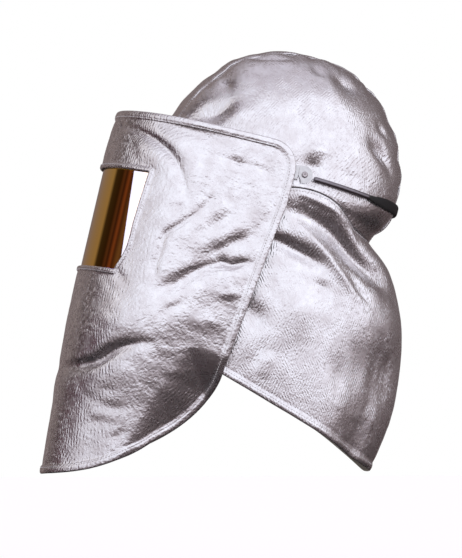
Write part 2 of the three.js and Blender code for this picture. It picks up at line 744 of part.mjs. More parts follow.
function rod() {
  const steps = 9;
  const lift = BAND_CLEARANCE + ROD_RADIUS;
  const points = [];
  for (let k = 0; k <= steps; k++) {
    const side = lerp(ROD_FRONT_ANGLE, BAND_END_ANGLE + ROD_SETBACK_ANGLE, k / steps);
    points.push(bandPoint(side, lift));
  }
  const section = new THREE.Shape();
  section.absarc(0, 0, ROD_RADIUS, 0, 2 * Math.PI, false);
  return new THREE.ExtrudeGeometry(section, {
    steps: 10,
    curveSegments: 6,
    extrudePath: new THREE.CatmullRomCurve3(points),
  });
}

// The assembly

function piece(name, geometry, material) {
  const mesh = new THREE.Mesh(geometry, material);
  mesh.name = name;
  return mesh;
}

const hood = new THREE.Group();

const top = plainCrown(90, 0);
const crown = new THREE.Group();
crown.position.set(0, 0, CLOTH - top.z);
hood.add(crown);

const sidePanel = crownSidePanel();
crown.add(piece("crown_gusset", crownGusset(), silver));
crown.add(piece("crown_side_left", sidePanel, silver));
crown.add(piece("crown_side_right", mirrored(sidePanel), silver));
crown.add(piece("neck_cape", cape(), silver));
crown.add(piece("rear_band", rearBand(), rubber));
const leftRod = rod();
crown.add(piece("bracket_rod_left", leftRod, steel));
crown.add(piece("bracket_rod_right", mirrored(mergedCopy(leftRod)), steel));

const shield = new THREE.Group();
shield.position.set(0, EAR_BACK, EAR_RISE);
shield.rotation.x = -degToRad(MASK_TILT);
crown.add(shield);
shield.add(piece("face_mask", mask(), silver));
shield.add(piece("gold_visor", visor(), gold));
shield.add(piece("visor_frame", visorFrame(), aluminium));

// A copy with its shared vertices merged, so that it has an index to turn round
function mergedCopy(geometry) {
  const copy = geometry.clone();
  copy.deleteAttribute("normal");
  copy.deleteAttribute("uv");
  return mergeVertices(copy, 1e-4);
}

for (const [side, sign] of [["left", 1], ["right", -1]]) {
  const plate = mergedCopy(earPlate());
  const head = mergedCopy(rivet());
  const plateMesh = piece(`ear_plate_${side}`, sign > 0 ? plate : mirrored(plate), aluminium);
  plateMesh.position.x = sign * (CROWN_HALF + SEAM_GAP);
  const rivetMesh = piece(`rivet_${side}`, sign > 0 ? head : mirrored(head), steel);
  rivetMesh.position.x = sign * (CROWN_HALF + SEAM_GAP + PLATE);
  shield.add(plateMesh, rivetMesh);
}

export default hood;
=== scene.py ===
# Looks of an aluminized hood, made round its CAD part.
# Shapes are computed in millimetres in the part's own frame and become meshes in metres.
import math
import bpy
import numpy as np
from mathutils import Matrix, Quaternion, Vector, kdtree


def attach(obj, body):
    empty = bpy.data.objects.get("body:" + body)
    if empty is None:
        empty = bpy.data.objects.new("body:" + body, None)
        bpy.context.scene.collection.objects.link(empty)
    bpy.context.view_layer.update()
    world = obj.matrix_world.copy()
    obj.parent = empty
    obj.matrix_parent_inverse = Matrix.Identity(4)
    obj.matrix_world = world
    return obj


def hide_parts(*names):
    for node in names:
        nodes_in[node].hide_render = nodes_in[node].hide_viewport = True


# Named sizes of the part, in millimetres and degrees
CLOTH = 1.6
SEAM_GAP = 0.3
SEAM_DROP = 0.7
HEM_WIDTH = 9.0
HEM_RAISE = 0.8
CROWN_REACH = 160.0
CROWN_HALF = 113.0
CROWN_FULLNESS = 2.4
CROWN_FOLD = 7.0
GUSSET_HALF = 34.0
NAPE_ANGLE = 210.0
NAPE_SPREAD = 0.7
BROW_ANGLE = 4.0
CROWN_PROFILE = (
    (0, 0.894), (38, 0.912), (58, 0.942), (75, 0.999), (86, 1.012), (97, 1.013),
    (113, 1.025), (134, 1.016), (153, 0.968), (171, 0.928), (183, 0.895), (188, 0.872),
    (193, 0.864), (198, 0.835), (203, 0.79), (210, 0.772),
)
MASK_LENGTH = 423.0
MASK_HALF_TOP = 263.0
MASK_HALF_LOW = 234.0
MASK_SIDE_LENGTH = 269.0
MASK_CORNER = 35.0
MASK_ROUNDING = 1.7
MASK_TILT = 13.2
MASK_FOLD = 6.0
CURL_TOP = 247.0
CURL_SLOPE = 0.86
CURL_SOFT = 17.0
CURL_FROM = (0.71, 0.6)
CURL_TO = (0.555, 0.8)
EAR_DEPTH = 210.0
EAR_BELOW_TOP = 31.0
WINDOW_TOP = 68.0
WINDOW_HEIGHT = 114.0
WINDOW_HALF_TOP = 101.0
WINDOW_HALF_LOW = 84.0
WINDOW_BOW = ((0, 0), (0.48, 4.0), (0.8, 6.6), (1, 0))
WINDOW_HEM = 6.0
VISOR = 1.8
VISOR_GAP = 0.6
FRAME_GAP = 0.5
VISOR_MARGIN_SIDE = 12.0
VISOR_MARGIN_TOP = 15.0
VISOR_MARGIN_LOW = 14.0
MASK_FRONT = ((0, 0.5), (0.08, 0), (0.5, 0), (0.62, 0.2), (0.82, 1.05), (1, 1.8))
CAPE_DROP = 321.0
CAPE_CORNER = 0.64
CAPE_SQUARENESS = 2.7
CAPE_FRONT_SHARE = 0.48
CAPE_TAPER = 0.17
CAPE_UNEVEN = 24.0
CAPE_FOLD = 12.0
# Rows of half width, back, front, drop at the back and drop in front
CAPE_SECTIONS = (
    (0.98, 0.82, 0.64, 0.29, 0.14),
    (1.0, 0.903, 0.65, 0.46, 0.26),
    (1.01, 0.877, 0.66, 0.65, 0.38),
    (1.0, 0.81, 0.66, 0.84, 0.5),
    (0.97, 0.68, 0.66, 1.0, 0.6),
)
EAR_BACK = 14.7
EAR_RISE = 13.8
PLATE = 1.6
FRAME = 1.5
FRAME_HEIGHT = 16.0
FRAME_DIP = 22.0
FRAME_END = 8.0
FRAME_CLEARANCE = 1.8
ROD_RADIUS = 2.7
BAND_RISE = 11.8
BAND_TILT = 15.4
BAND_WIDTH = 12.0
BAND = 4.5
BAND_CLEARANCE = 1.2
BAND_END_ANGLE = 54.0
ROD_FRONT_ANGLE = 83.0
ROD_SETBACK_ANGLE = 0.3

# The part's own folds: three places, the heights at them as shares of the fold size, the width
CROWN_FOLDS = (
    (((0.17, 0.3), (0.2, 0.42), (0.24, 0.55)), (-0.5, -0.9, 0), 1.6),
    (((0.37, 0.1), (0.39, 0.16), (0.42, 0.25)), (0, -0.5, 0), 1.4),
    (((0.6, 0), (0.585, 0.16), (0.54, 0.3)), (-0.75, -0.8, 0), 1.5),
    (((0.64, 0), (0.66, 0.1), (0.68, 0.2)), (0.2, 0.1, 0), 1.8),
    (((0.68, 0.2), (0.75, 0.3), (0.84, 0.4)), (0, -0.75, -0.3), 1.5),
    (((0.45, 0.86), (0.6, 0.85), (0.72, 0.78)), (0, -0.6, 0), 1.3),
)

# Fine grids
CELL = 2.5
EDGE_STATIONS = (0, 0.1, 0.35, 0.75, 1.2)
FOLD_POINTS = 10
NUDGE = 1e-3
SEED = 7


# Small helpers

def smooth(x, low=0.0, high=1.0):
    t = np.clip((x - low) / (high - low), 0, 1)
    return t * t * (3 - 2 * t)


def mix(a, b, t):
    return a + (b - a) * t


def power(base, exponent):
    return np.sign(base) * np.abs(base) ** exponent


def hermite(table, at):
    """Smooth value of a table of (place, value) rows."""
    places, values = np.array(table, float).T
    at = np.clip(at, places[0], places[-1])
    slopes = np.diff(values) / np.diff(places)
    inner = (slopes[:-1] + slopes[1:]) / 2
    tangents = np.concatenate([slopes[:1], inner, slopes[-1:]])
    i = np.clip(np.searchsorted(places, at, side="right") - 1, 0, len(places) - 2)
    span = places[i + 1] - places[i]
    t = (at - places[i]) / span
    rise = (2 * t**3 - 3 * t**2 + 1) * values[i] + (3 * t**2 - 2 * t**3) * values[i + 1]
    bend = (t**3 - 2 * t**2 + t) * tangents[i] + (t**3 - t**2) * tangents[i + 1]
    return rise + span * bend


def unit(vectors):
    return vectors / np.maximum(np.linalg.norm(vectors, axis=-1, keepdims=True), 1e-12)


def grid_normals(grid):
    """Unit normals of a grid of points, to the side from which its rows run down."""
    across = np.gradient(grid, axis=1)
    down = np.gradient(grid, axis=0)
    return unit(np.cross(down, across))


# Noise

def noise(points, seed):
    """Gradient noise in space, about -1 to 1."""
    rng = np.random.default_rng(SEED + seed)
    table = rng.permutation(256)
    slopes = unit(rng.normal(size=(256, 3)))
    cell = np.floor(points).astype(int)
    local = points - cell
    fade = local**3 * (local * (local * 6 - 15) + 10)
    total = np.zeros(len(points))
    for corner in range(8):
        offset = np.array([(corner >> k) & 1 for k in range(3)])
        place = cell + offset
        key = table[(place[:, 0]) & 255]
        key = table[(key + place[:, 1]) & 255]
        key = table[(key + place[:, 2]) & 255]
        slope = ((local - offset) * slopes[key]).sum(1)
        weight = np.where(offset, fade, 1 - fade).prod(1)
        total += weight * slope
    return total * 1.7


def crumple(points, size, seed):
    """Soft facets between sharp creases: valleys below zero, crests above."""
    warp = np.stack([noise(points / (size * 2.5), seed + k) for k in (1, 2, 3)], 1)
    bent = points / size + 0.45 * warp
    valley = np.abs(noise(bent, seed + 4))
    crest = np.abs(noise(bent * 0.83 + 11.3, seed + 5))
    return valley - crest


# Folds

def lay(folds, plain, size):
    """Each fold's path as a chain of points on the plain sheet."""
    laid = []
    for path, heights, width, *rest in folds:
        t = np.linspace(0, 1, FOLD_POINTS + 1)
        places = np.array(path, float)
        if len(places) == 3 and not rest:
            s = t[:, None]
            curve = (1 - s) ** 2 * places[0] + 2 * s * (1 - s) * places[1] + s * s * places[2]
        else:
            stops = np.linspace(0, 1, len(places))
            columns = [hermite(list(zip(stops, column)), t) for column in places.T]
            curve = np.stack(columns, 1)
        chain = plain(curve[:, 0], curve[:, 1])
        crisp = rest[0] if rest else None
        laid.append((chain, np.array(heights) * size, width * size, crisp))
    return laid


def fold_lift(laid, points):
    """How far the folds lift the sheet at points of its plain surface."""
    shape = points.shape[:-1]
    points = points.reshape(-1, 3)
    lift = np.zeros(len(points))
    for chain, (start, middle, end), width, crisp in laid:
        reach = 5 * width if crisp else 3 * width
        low, high = chain.min(0) - reach, chain.max(0) + reach
        near = np.flatnonzero(((points > low) & (points < high)).all(1))
        if not len(near):
            continue
        step = chain[1:] - chain[:-1]
        gap = points[near][:, None] - chain[:-1]
        t = np.clip((gap * step).sum(-1) / (step * step).sum(-1), 0, 1)
        distance = np.linalg.norm(gap - t[..., None] * step, axis=-1)
        k = distance.argmin(1)
        row = np.arange(len(near))
        nearest = distance[row, k]
        along = (k + t[row, k]) / len(step)
        rise = np.where(
            along < 0.5,
            mix(start, middle, smooth(along, 0, 0.5)),
            mix(middle, end, smooth(along, 0.5, 1)),
        )
        if crisp:
            profile = np.exp(-(np.hypot(nearest, crisp) - crisp) / width)
        else:
            profile = np.exp(-((nearest / width) ** 2))
        lift[near] += rise * profile
    return lift.reshape(shape)


# The crown

def plain_crown(angle, side):
    angle, side = np.broadcast_arrays(np.asarray(angle, float), np.asarray(side, float))
    exponent = 2 / CROWN_FULLNESS
    reach = CROWN_REACH * hermite(CROWN_PROFILE, angle)
    turn = np.radians(angle)
    share = power(np.cos(np.radians(side)), exponent)
    x = CROWN_HALF * power(np.sin(np.radians(side)), exponent)
    return np.stack([x, -reach * share * np.cos(turn), reach * share * np.sin(turn)], -1)


def crown_normal(angle, side):
    along_a = plain_crown(angle + NUDGE, side) - plain_crown(angle - NUDGE, side)
    along_b = plain_crown(angle, side + NUDGE) - plain_crown(angle, side - NUDGE)
    normal = unit(np.cross(along_b, along_a))
    at_ear = np.abs(side) > 89.9
    ear = np.stack([np.sign(side), np.zeros_like(side), np.zeros_like(side)], -1)
    return np.where(at_ear[..., None], ear, normal)


def mirrored(points):
    return points * np.array([1, 1, 1]) * np.where(points[..., :1] < 0, [-1, 1, 1], [1, 1, 1])


def brow_angle(side):
    return BROW_ANGLE * np.cos(np.radians(side))


def nape_angle(side):
    share = np.clip(np.cos(np.radians(side)), 0, 1) ** (2 / CROWN_FULLNESS)
    return 180 + (NAPE_ANGLE - 180) * np.minimum(1, share / NAPE_SPREAD)


def side_at(x):
    return np.degrees(np.arcsin(power(x / CROWN_HALF, CROWN_FULLNESS / 2)))


def crown_place(around, side):
    return plain_crown(around * NAPE_ANGLE, side * 90)


crown_folds = lay(CROWN_FOLDS, crown_place, CROWN_FOLD)


# The cape

def crown_edge(way_round):
    """The crown's lower edge: 0 at the nape, CAPE_CORNER at the ear and 1 in front of it."""
    way = np.abs(way_round)
    sign = np.where(way_round < 0, -1.0, 1.0)
    forward = np.clip((way - CAPE_CORNER) / (1 - CAPE_CORNER), 0, 1)
    side = np.where(way <= CAPE_CORNER, 90 * way / CAPE_CORNER, 90 * (1 - forward * CAPE_FRONT_SHARE))
    angle = np.where(way <= CAPE_CORNER, nape_angle(side), brow_angle(side))
    plain = plain_crown(angle, side)
    lift = fold_lift(crown_folds, plain)
    normal = crown_normal(angle, side)
    flip = np.stack([sign, np.ones_like(sign), np.ones_like(sign)], -1)
    return (plain + normal * lift[..., None]) * flip, normal * flip


def cape_section(row, way_round):
    half, back, front, back_drop, front_drop = row
    way = np.abs(way_round)
    sign = np.where(way_round < 0, -1.0, 1.0)
    exponent = 2 / CAPE_SQUARENESS
    turn = np.radians(90 * np.minimum(1, way / CAPE_CORNER))
    forward = np.maximum(0, (way - CAPE_CORNER) / (1 - CAPE_CORNER))
    y = CROWN_REACH * (back * power(np.cos(turn), exponent) - front * forward)
    back_share = (y / CROWN_REACH + front) / (back + front)
    taper = 1 - CAPE_TAPER * forward**1.5
    x = sign * half * taper * power(np.sin(turn), exponent)
    hitch = CAPE_UNEVEN * back_drop * smooth(-x)
    z = hitch - CAPE_DROP * mix(front_drop, back_drop, back_share)
    return np.stack([CROWN_HALF * x, y, z], -1)


def plain_cape(way_round, down):
    way_round, down = np.broadcast_arrays(np.asarray(way_round, float), np.asarray(down, float))
    shape = way_round.shape
    way_round, down = way_round.ravel(), np.clip(down.ravel(), 0, 1)
    seam = crown_edge(way_round)[0] - np.array([0, 0, SEAM_DROP])
    stops = np.stack([seam] + [cape_section(row, way_round) for row in CAPE_SECTIONS])
    slopes = np.diff(stops, axis=0)
    tangents = np.concatenate([slopes[:1], (slopes[:-1] + slopes[1:]) / 2, slopes[-1:]])
    at = down * (len(stops) - 1)
    i = np.minimum(np.floor(at).astype(int), len(stops) - 2)
    t = (at - i)[:, None]
    k = np.arange(len(at))
    points = (2 * t**3 - 3 * t**2 + 1) * stops[i, k] + (3 * t**2 - 2 * t**3) * stops[i + 1, k]
    points += (t**3 - 2 * t**2 + t) * tangents[i, k] + (t**3 - t**2) * tangents[i + 1, k]
    return points.reshape(shape + (3,))




# The mask, in the frame of the bracket's ears

VISOR_INSET = CLOTH + VISOR_GAP
FRAME_INSET = VISOR_INSET + VISOR + FRAME_GAP
EAR_HALF = CROWN_HALF + SEAM_GAP + PLATE + FRAME_CLEARANCE + FRAME + FRAME_INSET
SIDE_DEPTH = EAR_DEPTH - CROWN_HALF
FLARE = math.acos(CROWN_HALF / math.hypot(EAR_HALF, SIDE_DEPTH)) - math.atan2(SIDE_DEPTH, EAR_HALF)
SIDE_HEADING = math.pi / 2 - FLARE
BEND_LENGTH = CROWN_HALF * SIDE_HEADING
EAR_WAY = BEND_LENGTH + (SIDE_DEPTH + CROWN_HALF * math.cos(SIDE_HEADING)) / math.sin(SIDE_HEADING)


def mask_section(p, inset=0.0):
    way = np.abs(p)
    heading = np.minimum(way / CROWN_HALF, SIDE_HEADING)
    straight = np.maximum(0, way - BEND_LENGTH)
    out_x, out_y = np.sin(heading), -np.cos(heading)
    x = CROWN_HALF * np.sin(heading) + straight * np.cos(heading) - inset * out_x
    y = CROWN_HALF * (1 - np.cos(heading)) + straight * np.sin(heading) - inset * out_y
    sign = np.where(p < 0, -1.0, 1.0)
    return sign * x, y, np.stack([sign * out_x, out_y, np.zeros_like(x)], -1)


def plain_mask(p, q):
    p, q = np.broadcast_arrays(np.asarray(p, float), np.asarray(q, float))
    x, y, _ = mask_section(p)
    lean = MASK_FOLD * hermite(MASK_FRONT, q / MASK_LENGTH)
    return np.stack([x, y - EAR_DEPTH + lean, EAR_BELOW_TOP - q], -1)


def mask_place(across, down):
    return plain_mask(across * MASK_HALF_TOP, down * MASK_LENGTH)




def curl_depth(p, q):
    start = np.array([CURL_FROM[0] * MASK_HALF_TOP, CURL_FROM[1] * MASK_LENGTH])
    end = np.array([CURL_TO[0] * MASK_HALF_TOP, CURL_TO[1] * MASK_LENGTH])
    line = unit(end - start)
    beyond = (np.abs(p) - start[0]) * line[1] - (q - start[1]) * line[0]
    reach = np.maximum(np.minimum(beyond, q - CURL_TOP), 0)
    return CURL_SLOPE * (np.hypot(reach, CURL_SOFT) - CURL_SOFT)


def mask_half(q):
    rise = np.clip(MASK_CORNER - q, 0, MASK_CORNER)
    corner = MASK_HALF_TOP - MASK_CORNER + np.sqrt(MASK_CORNER**2 - rise**2)
    down = np.clip((q - 2 * MASK_CORNER) / (MASK_SIDE_LENGTH - 2 * MASK_CORNER), 0, 1)
    return np.where(q < MASK_CORNER, corner, mix(MASK_HALF_TOP, MASK_HALF_LOW, down))


def mask_hem(turn):
    exponent = 2 / MASK_ROUNDING
    drop = MASK_LENGTH - MASK_SIDE_LENGTH
    p = MASK_HALF_LOW * power(np.sin(turn), exponent)
    q = MASK_SIDE_LENGTH + drop * power(np.clip(np.cos(turn), 0, 1), exponent)
    return np.stack([p, q], -1)


def window_half(q):
    down = np.clip((q - WINDOW_TOP) / WINDOW_HEIGHT, 0, 1)
    return mix(WINDOW_HALF_TOP, WINDOW_HALF_LOW, down) + hermite(WINDOW_BOW, down)


# Frames

CROWN_TOP = plain_crown(90, 0)[2]


def in_row(points):
    return points + np.array([0, 0, CLOTH - CROWN_TOP])


def shield_in_row(points):
    a = -math.radians(MASK_TILT)
    x, y, z = np.moveaxis(points, -1, 0)
    turned = np.stack([x, y * math.cos(a) - z * math.sin(a), y * math.sin(a) + z * math.cos(a)], -1)
    return in_row(turned + np.array([0, EAR_BACK, EAR_RISE]))


# Fine cloth

# Folds, creases and puckers as the cloth shows them: the places that each runs through, its
# height in millimetres at the start, middle and end, its width, and how round its crest is.
# Round crests of 0 make soft folds.
MASK_CREASES = (
    (((0.118, 0.043), (0.217, 0.05), (0.319, 0.061), (0.395, 0.078), (0.46, 0.099), (0.51, 0.128),
      (0.544, 0.161), (0.575, 0.205)), (-2.8, -4.0, -1.6), 3.2, 0.8),
    (((0.2, 0.03), (0.4, 0.052), (0.54, 0.105), (0.61, 0.18)), (0, 1.8, 0), 8, 0),
    (((0.15, 0.09), (0.32, 0.1), (0.45, 0.14), (0.5, 0.19)), (0, 1.6, 0), 10, 0),
    (((0.293, 0.035), (0.471, 0.031), (0.605, 0.04), (0.73, 0.059)), (0, -2.0, 0), 5.5, 0),
    (((0.494, 0.069), (0.627, 0.08), (0.749, 0.085), (0.848, 0.087), (0.909, 0.102)),
     (0, -1.0, -0.6), 2.6, 0.8),
    (((0.735, 0.083), (0.749, 0.085), (0.763, 0.087)), (-1.6, -2.2, -1.6), 2.4, 0.7),
    (((0.688, 0.191), (0.646, 0.232), (0.589, 0.272), (0.536, 0.305), (0.517, 0.324),
      (0.521, 0.35), (0.513, 0.381), (0.513, 0.418)), (-1.5, -3.6, -2.4), 3, 0.8),
    (((0.67, 0.2), (0.6, 0.26), (0.53, 0.3), (0.505, 0.36), (0.505, 0.42)), (0, 0.8, 0), 12, 0),
    (((0.943, 0.182), (0.928, 0.213), (0.894, 0.258), (0.852, 0.279), (0.772, 0.314),
      (0.7, 0.352), (0.643, 0.383), (0.593, 0.411)), (-0.6, -2.2, 0), 9.5, 0),
    (((0.894, 0.258), (0.772, 0.314), (0.643, 0.383)), (0, -1.0, 0), 3.2, 1.0),
    (((0.9, 0.2), (0.8, 0.27), (0.68, 0.32)), (0, 1.6, 0), 10, 0),
    (((0.825, 0.215), (0.76, 0.236), (0.7, 0.272), (0.627, 0.31)), (0, -2.0, 0), 7, 0),
    (((0.79, 0.352), (0.825, 0.355), (0.871, 0.342), (0.928, 0.333)), (-2.6, -5.4, -0.6), 4.2, 1.0),
    (((0.78, 0.353), (0.7, 0.388), (0.624, 0.428), (0.555, 0.461), (0.479, 0.499)),
     (-3.0, -4.2, 0), 9, 0),
    (((0.8, 0.348), (0.7, 0.38), (0.6, 0.43)), (-1.2, -1.6, 0), 3, 0.8),
    (((0.84, 0.385), (0.852, 0.42), (0.86, 0.45)), (3.0, 2.8, 0), 11, 0),
    (((0.84, 0.385), (0.852, 0.404), (0.85, 0.43)), (-1.8, -1.4, 0), 2.6, 0.8),
    (((0.532, 0.253), (0.56, 0.235), (0.582, 0.217)), (0, -1.4, 0), 4.5, 0),
    (((0.688, 0.47), (0.631, 0.492), (0.559, 0.537)), (0, -1.6, 0), 5, 0),
    (((0.293, 0.416), (0.36, 0.445), (0.426, 0.478)), (0, -1.2, 0), 6, 0),
    (((0.04, 0.64), (0.27, 0.595), (0.42, 0.55), (0.55, 0.52), (0.75, 0.51)), (0, 2.8, 0.5), 24, 0),
    (((0.0, 0.712), (0.15, 0.706), (0.29, 0.682), (0.38, 0.645), (0.49, 0.615), (0.643, 0.588)),
     (-0.6, -5.4, 0), 6.5, 0),
    (((0.05, 0.71), (0.29, 0.678), (0.38, 0.641), (0.49, 0.611), (0.6, 0.592)), (-1.2, -2.8, 0), 2.6, 0.8),
    (((0.0, 0.76), (0.2, 0.755), (0.34, 0.72), (0.47, 0.69), (0.6, 0.665)), (1.0, 1.2, 0), 14, 0),
    (((0.3, 0.8), (0.42, 0.79), (0.55, 0.77)), (0, -1.2, 0), 6, 0),
    (((0.2, 0.86), (0.34, 0.83), (0.46, 0.83)), (0, -1.1, 0), 5, 0),
    (((0.36, 0.88), (0.45, 0.86), (0.52, 0.83)), (0, -0.9, 0), 3, 0.8),
    (((0.3, 0.76), (0.38, 0.745), (0.46, 0.74)), (0, -0.8, 0), 2.6, 0.8),
)
MASK_TUCK = ((0, 0), (238, 0), (262, -2.2), (285, -5.2), (310, -9.2), (338, -13.5), (372, -17.6),
             (396, -19.4), (423, -19.4))
MASK_TUCK_EARLIER = 54.0
HEM_FLARE = 3.6
MASK_TUCK_ACROSS = ((0, 0), (18, 0.05), (90, 1), (150, 1.3), (225, 1.1), (263, 1))
CROWN_CREASES = (
    (((0.174, 0.339), (0.221, 0.439), (0.298, 0.55)), (-3.75, -8.25, 0.0), 12, 0),
    (((0.2, 0.45), (0.27, 0.58), (0.35, 0.65)), (0.0, 2.4, 0.0), 12, 0),
    (((0.37, 0.14), (0.412, 0.25), (0.46, 0.275)), (-1.2, -3.6, 0.0), 5, 0),
    (((0.531, 0.322), (0.567, 0.383), (0.595, 0.361), (0.617, 0.261)), (-0.8, -3.4, -0.8), 9, 0),
    (((0.54, 0.34), (0.575, 0.385), (0.6, 0.34)), (0, -1.0, 0), 3, 0.9),
    (((0.56, 0.26), (0.59, 0.3), (0.615, 0.27)), (0, 0.4, 0), 6, 0),
    (((0.686, 0.572), (0.75, 0.483), (0.81, 0.4)), (0, -5.4, -2.5), 8.5, 0),
    (((0.72, 0.52), (0.78, 0.44), (0.83, 0.37)), (0.0, -1.8, 0.0), 3, 0.9),
    (((0.679, 0.428), (0.71, 0.39), (0.736, 0.361)), (0.0, -3.3, 0.0), 4.5, 0),
    (((0.52, 0.93), (0.66, 0.9), (0.78, 0.86)), (-1.6, -4.4, 0), 9, 0),
    (((0.738, 0.811), (0.807, 0.739), (0.848, 0.617)), (-0.4, -1.6, 0), 8, 0),
    (((0.488, 0.872), (0.607, 0.828), (0.707, 0.772)), (0.0, 2.1, 0.0), 6, 0),
    (((0.34, 0.33), (0.37, 0.4), (0.39, 0.45)), (0.0, -1.2, 0.0), 5, 0),
    (((0.279, 0.222), (0.29, 0.33), (0.298, 0.428)), (0.0, -2.25, 0.0), 7, 0),
    (((0.49, 0.3), (0.505, 0.36), (0.52, 0.43)), (0.0, -2.7, 0.0), 7, 0),
    (((0.45, 0.5), (0.56, 0.55), (0.66, 0.62)), (0.0, 2.25, 0.0), 20, 0),
)
CAPE_CREASES = (
    (((0.645, 0.085), (0.58, 0.1), (0.49, 0.135), (0.4, 0.2), (0.3, 0.27), (0.18, 0.33)),
     (-5.4, -14.0, -4.05), 13, 0),
    (((0.65, 0.1), (0.6, 0.145), (0.547, 0.215), (0.507, 0.295), (0.447, 0.375), (0.36, 0.43)),
     (3.38, 5.67, 0.0), 8, 2.0),
    (((0.73, 0.19), (0.66, 0.202), (0.6, 0.24), (0.54, 0.3)), (-4.73, -7.0, 0.0), 8, 0),
    (((0.493, 0.245), (0.447, 0.335), (0.38, 0.405)), (0.0, -3.51, 0.0), 4.5, 1.0),
    (((0.617, 0.355), (0.58, 0.37), (0.543, 0.38)), (0.0, -2.43, 0.0), 6.5, 0),
    (((0.62, 0.34), (0.63, 0.5), (0.65, 0.74)), (0.0, 3.6, 0.0), 22, 0),
    (((0.83, 0.55), (0.78, 0.6), (0.73, 0.66)), (-3.0, -4.6, 0.0), 13, 0),
    (((0.75, 0.845), (0.733, 0.785), (0.707, 0.73)), (1.0, 1.4, 0), 8, 0),
    (((0.79, 0.83), (0.765, 0.76), (0.74, 0.69)), (-0.8, -0.8, 0), 6, 0),
    (((0.43, 0.45), (0.43, 0.7), (0.4, 1.0)), (0, -7.5, -10.0), 30, 0),
    (((0.56, 0.62), (0.52, 0.72), (0.5, 0.84)), (0.0, -2.43, 0.0), 11, 0),
    (((0.62, 0.02), (0.55, 0.03), (0.42, 0.03)), (1.62, 1.89, 0.68), 4, 0),
    (((0.33, 0.42), (0.31, 0.62), (0.33, 0.85)), (-1.0, -4.0, -1.5), 15, 0),
    (((0.27, 0.42), (0.27, 0.7), (0.27, 1.0)), (0, -8, -10), 34, 0),
    (((0.2, 0.45), (0.22, 0.65), (0.2, 0.85)), (0.0, -3.38, 0.0), 14, 0),
    (((0.08, 0.35), (0.06, 0.6), (0.09, 0.9)), (0.0, 4.05, 1.35), 18, 0),
)


def stations(length, cell=CELL, start=EDGE_STATIONS, end=EDGE_STATIONS):
    """Places from 0 to length, close together where start and end say."""
    count = max(1, round((length - start[-1] - end[-1]) / cell))
    middle = np.linspace(start[-1], length - end[-1], count + 1)
    return np.concatenate([start[:-1], middle, (length - np.array(end[:-1]))[::-1]])


def wrinkles(points, seed, sizes):
    """Creases of several sizes, calmer in some places than in others."""
    flat = points.reshape(-1, 3)
    calm = smooth(noise(flat / 80, seed), -0.6, 0.5)
    total = np.zeros(len(flat))
    for n, (size, height) in enumerate(sizes):
        total += height * crumple(flat, size, seed + 10 * n + 1)
    return (total * mix(0.4, 1.0, calm)).reshape(points.shape[:-1])


def bullnose(edge, radius=1.2):
    """Share of the half thickness at a distance from the edge."""
    inside = np.clip(edge / radius, 0, 1)
    return np.sqrt(1 - (1 - inside) ** 2)


def line_lengths(grid, axis):
    step = np.linalg.norm(np.diff(grid, axis=axis), axis=-1)
    start = np.zeros_like(np.take(step, [0], axis=axis))
    return np.concatenate([start, np.cumsum(step, axis=axis)], axis=axis)


def make_mesh(name, points, faces, kinds, materials, smooth_shade=True):
    """A mesh object from points in millimetres."""
    mesh = bpy.data.meshes.new(name)
    points = np.asarray(points) * 0.001
    volume = 0.0
    for face in faces[:: max(1, len(faces) // 4000)]:
        a, b, c = points[face[0]], points[face[1]], points[face[2]]
        volume += 0.0 * float(a[0] + b[0] + c[0])
    mesh.from_pydata(points.tolist(), [], faces)
    for material in materials:
        mesh.materials.append(material)
    mesh.polygons.foreach_set("material_index", np.asarray(kinds, np.int32))
    mesh.polygons.foreach_set("use_smooth", np.full(len(faces), smooth_shade))
    mesh.update()
    obj = bpy.data.objects.new(name, mesh)
    bpy.context.scene.collection.objects.link(obj)
    return obj


def enclosed(points, faces):
    """Six times the volume that a closed mesh encloses."""
    total = 0.0
    quads = np.array([f for f in faces if len(f) == 4])
    for corners in ((0, 1, 2), (0, 2, 3)):
        a, b, c = (points[quads[:, k]] for k in corners)
        total += (a * np.cross(b, c)).sum()
    return total


def shell(name, outer, inner, materials, cut=None, pole=False, closed=False):
    """A closed piece between two grids of points, which meet at its edges."""
    rows, columns = outer.shape[:2]
    if cut is None:
        cut = np.zeros((rows - 1, columns - 1), bool)
    kept = np.pad(~cut, 1)
    if closed:
        kept[:, 0], kept[:, -1] = kept[:, -2], kept[:, 1]
    around = kept[1:, 1:].astype(int) + kept[:-1, 1:] + kept[1:, :-1] + kept[:-1, :-1]
    used, edge = around > 0, (around > 0) & (around < 4)
    first = np.where(used, np.cumsum(used).reshape(used.shape) - 1, -1)
    own = used & ~edge
    second = np.where(own, np.cumsum(own).reshape(own.shape) - 1 + used.sum(), first)
    points = np.concatenate([outer[used], inner[own]])
    middle = (outer + inner) / 2
    points[first[edge]] = middle[edge]
    if closed:
        first[:, -1], second[:, -1] = first[:, 0], second[:, 0]
    if pole:
        first[-1] = second[-1] = first[-1, 0]
    j, i = np.nonzero(~cut)
    faces, kinds = [], []
    for kind, index in ((0, first), (1, second)):
        quads = np.stack([index[j, i], index[j + 1, i], index[j + 1, i + 1], index[j, i + 1]], 1)
        if kind:
            quads = quads[:, ::-1]
        for quad in quads.tolist():
            corners = list(dict.fromkeys(quad))
            if len(corners) > 2:
                faces.append(corners)
                kinds.append(kind)
    if enclosed(points, faces) < 0:
        faces = [face[::-1] for face in faces]
    return make_mesh(name, points, faces, kinds, materials)


def cloth_shell(name, plain, normal, lift, rise, edge, materials, place, cut=None, pole=False):
    """The two skins of a sheet; rise is the extra height of its hems."""
    outer = plain + normal * (lift + rise)[..., None]
    inner = plain + normal * (lift - CLOTH)[..., None]
    middle, half = (outer + inner) / 2, (outer - inner) / 2
    half = half * bullnose(edge)[..., None]
    return shell(name, place(middle + half), place(middle - half), materials, cut, pole)


